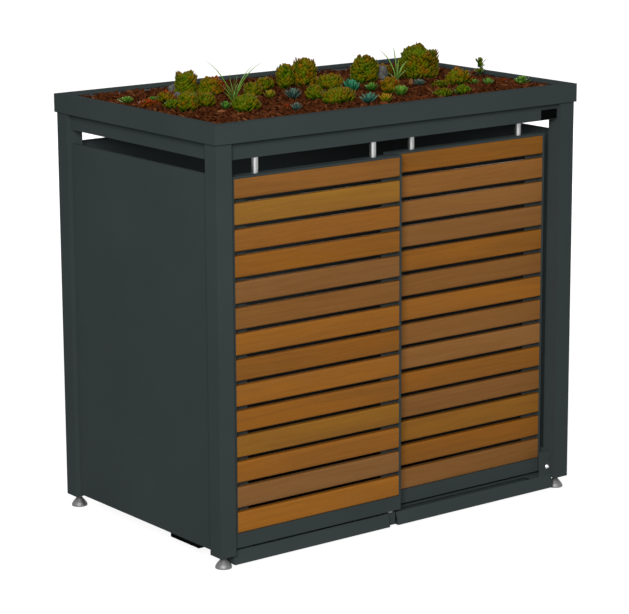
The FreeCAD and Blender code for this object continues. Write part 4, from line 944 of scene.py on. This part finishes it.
def floor():
    """Pale floor. It reads white where nothing shades it, and has a painted shadow under the
    store, where it stays dark.
    """
    mesh = bpy.data.meshes.new("floor")
    mesh.from_pydata([(-FLOOR_HALF, -FLOOR_HALF, 0), (FLOOR_HALF, -FLOOR_HALF, 0),
                      (FLOOR_HALF, FLOOR_HALF, 0), (-FLOOR_HALF, FLOOR_HALF, 0)],
                     [], [(0, 1, 2, 3)])
    made, tree, shader = material("pale_floor", 0.9, specular=0.0)
    where = place(tree)
    grain = cloud(tree, where, 3.0, 4.0)
    x, y = put(tree, "SeparateXYZ", {0: where}).outputs[:2]
    pale = mix(tree, grain, linear(120, 120, 120), linear(128, 128, 128))
    aslant = maths(tree, "SUBTRACT", maths(tree, "MULTIPLY", x, ASLANT[0]),
                   maths(tree, "MULTIPLY", y, ASLANT[1]))
    clear = 0.0
    for value, limits in ((x, PAINTED_SHADOW_X), (y, PAINTED_SHADOW_Y), (aslant, PAINTED_SHADOW_ASLANT)):
        for dark, lit in limits:
            clear = maths(tree, "MAXIMUM", clear, spread(tree, value, dark, lit, 0.0, 1.0))
    # Painted shadow: where clear is low, the floor is dark.
    tree.links.new(mix(tree, clear, linear(24, 24, 24), pale), shader.inputs["Base Color"])
    away = put(tree, "VectorMath", {0: where}, operation="LENGTH").outputs["Value"]
    # The glow is off in the painted shadow too.
    glow = maths(tree, "MULTIPLY", clear, spread(tree, away, *GLOW_RISE, NEAR_GLOW, FAR_GLOW))
    shader.inputs["Emission Color"].default_value = (1, 1, 1, 1)
    tree.links.new(maths(tree, "MULTIPLY", glow, seen_directly(tree)),
                   shader.inputs["Emission Strength"])
    mesh.materials.append(made)
    ground = bpy.data.objects.new("floor", mesh)
    bpy.context.scene.collection.objects.link(ground)


def sky(strength):
    """White surroundings where they are seen, and a weak white light from all sides."""
    world = bpy.data.worlds.new("studio")
    bpy.context.scene.world = world
    world.use_nodes = True
    tree = world.node_tree
    background = tree.nodes["Background"]
    background.inputs["Color"].default_value = (1, 1, 1, 1)
    tree.links.new(spread(tree, seen_directly(tree), 0.0, 1.0, strength, 1.0),
                   background.inputs["Strength"])


LAMP_SIZE = 5.0
LAMP_TARGET = Vector((0, 0, 0.65))
INSIDE_PLACE = (0, 0.05, 0.7)
INSIDE_SIZE = 0.2


def direction(azimuth, elevation):
    """Unit vector from the store. The azimuth is 0 in front and grows to the right."""
    return Vector((math.sin(azimuth) * math.cos(elevation),
                   -math.cos(azimuth) * math.cos(elevation), math.sin(elevation)))


def softbox(name, azimuth, elevation, distance, watts):
    """Square area lamp that faces the middle of the store."""
    away = direction(math.radians(azimuth), math.radians(elevation))
    data = bpy.data.lights.new(name, "AREA")
    data.size = LAMP_SIZE
    data.energy = watts
    lamp = bpy.data.objects.new(name, data)
    lamp.location = LAMP_TARGET + away * distance
    lamp.rotation_euler = away.to_track_quat("Z", "Y").to_euler()
    bpy.context.scene.collection.objects.link(lamp)


def inside_lamp(watts):
    """Weak light in the store, so that it isn't quite black behind the vents."""
    data = bpy.data.lights.new("inside", "POINT")
    data.energy = watts
    data.shadow_soft_size = INSIDE_SIZE
    lamp = bpy.data.objects.new("inside", data)
    lamp.location = INSIDE_PLACE
    lamp.visible_camera = False
    lamp.visible_glossy = False
    bpy.context.scene.collection.objects.link(lamp)


# The photograph's camera. The focal length is in pixels of the picture.
CAMERA_AZIMUTH = -0.655
CAMERA_ELEVATION = 0.2237
CAMERA_ROLL = -0.0047
CAMERA_DISTANCE = 7.9812
CAMERA_TARGET = Vector((0.0149, 0.0432, 0.6128))
FOCAL_PIXELS = 2502.6
PICTURE_WIDTH = 629
SENSOR_WIDTH = 36.0


def camera():
    back = direction(CAMERA_AZIMUTH, CAMERA_ELEVATION)
    level = (-back).cross(Vector((0, 0, 1))).normalized()
    upright = level.cross(-back)
    right = level * math.cos(CAMERA_ROLL) + upright * math.sin(CAMERA_ROLL)
    up = upright * math.cos(CAMERA_ROLL) - level * math.sin(CAMERA_ROLL)
    data = bpy.data.cameras.new("camera")
    data.sensor_fit = "HORIZONTAL"
    data.sensor_width = SENSOR_WIDTH
    data.lens = FOCAL_PIXELS / PICTURE_WIDTH * SENSOR_WIDTH
    data.clip_end = 200.0
    view = bpy.data.objects.new("camera", data)
    turn = Matrix((right, up, back)).transposed().to_4x4()
    view.matrix_world = Matrix.Translation(CAMERA_TARGET + back * CAMERA_DISTANCE) @ turn
    bpy.context.scene.collection.objects.link(view)
    bpy.context.scene.camera = view


floor()
sky(strength=0.25)
softbox("key", azimuth=-42, elevation=22, distance=12.0, watts=1560)
softbox("back_fill", azimuth=135, elevation=18, distance=8.0, watts=400)
inside_lamp(watts=1.5)
camera()
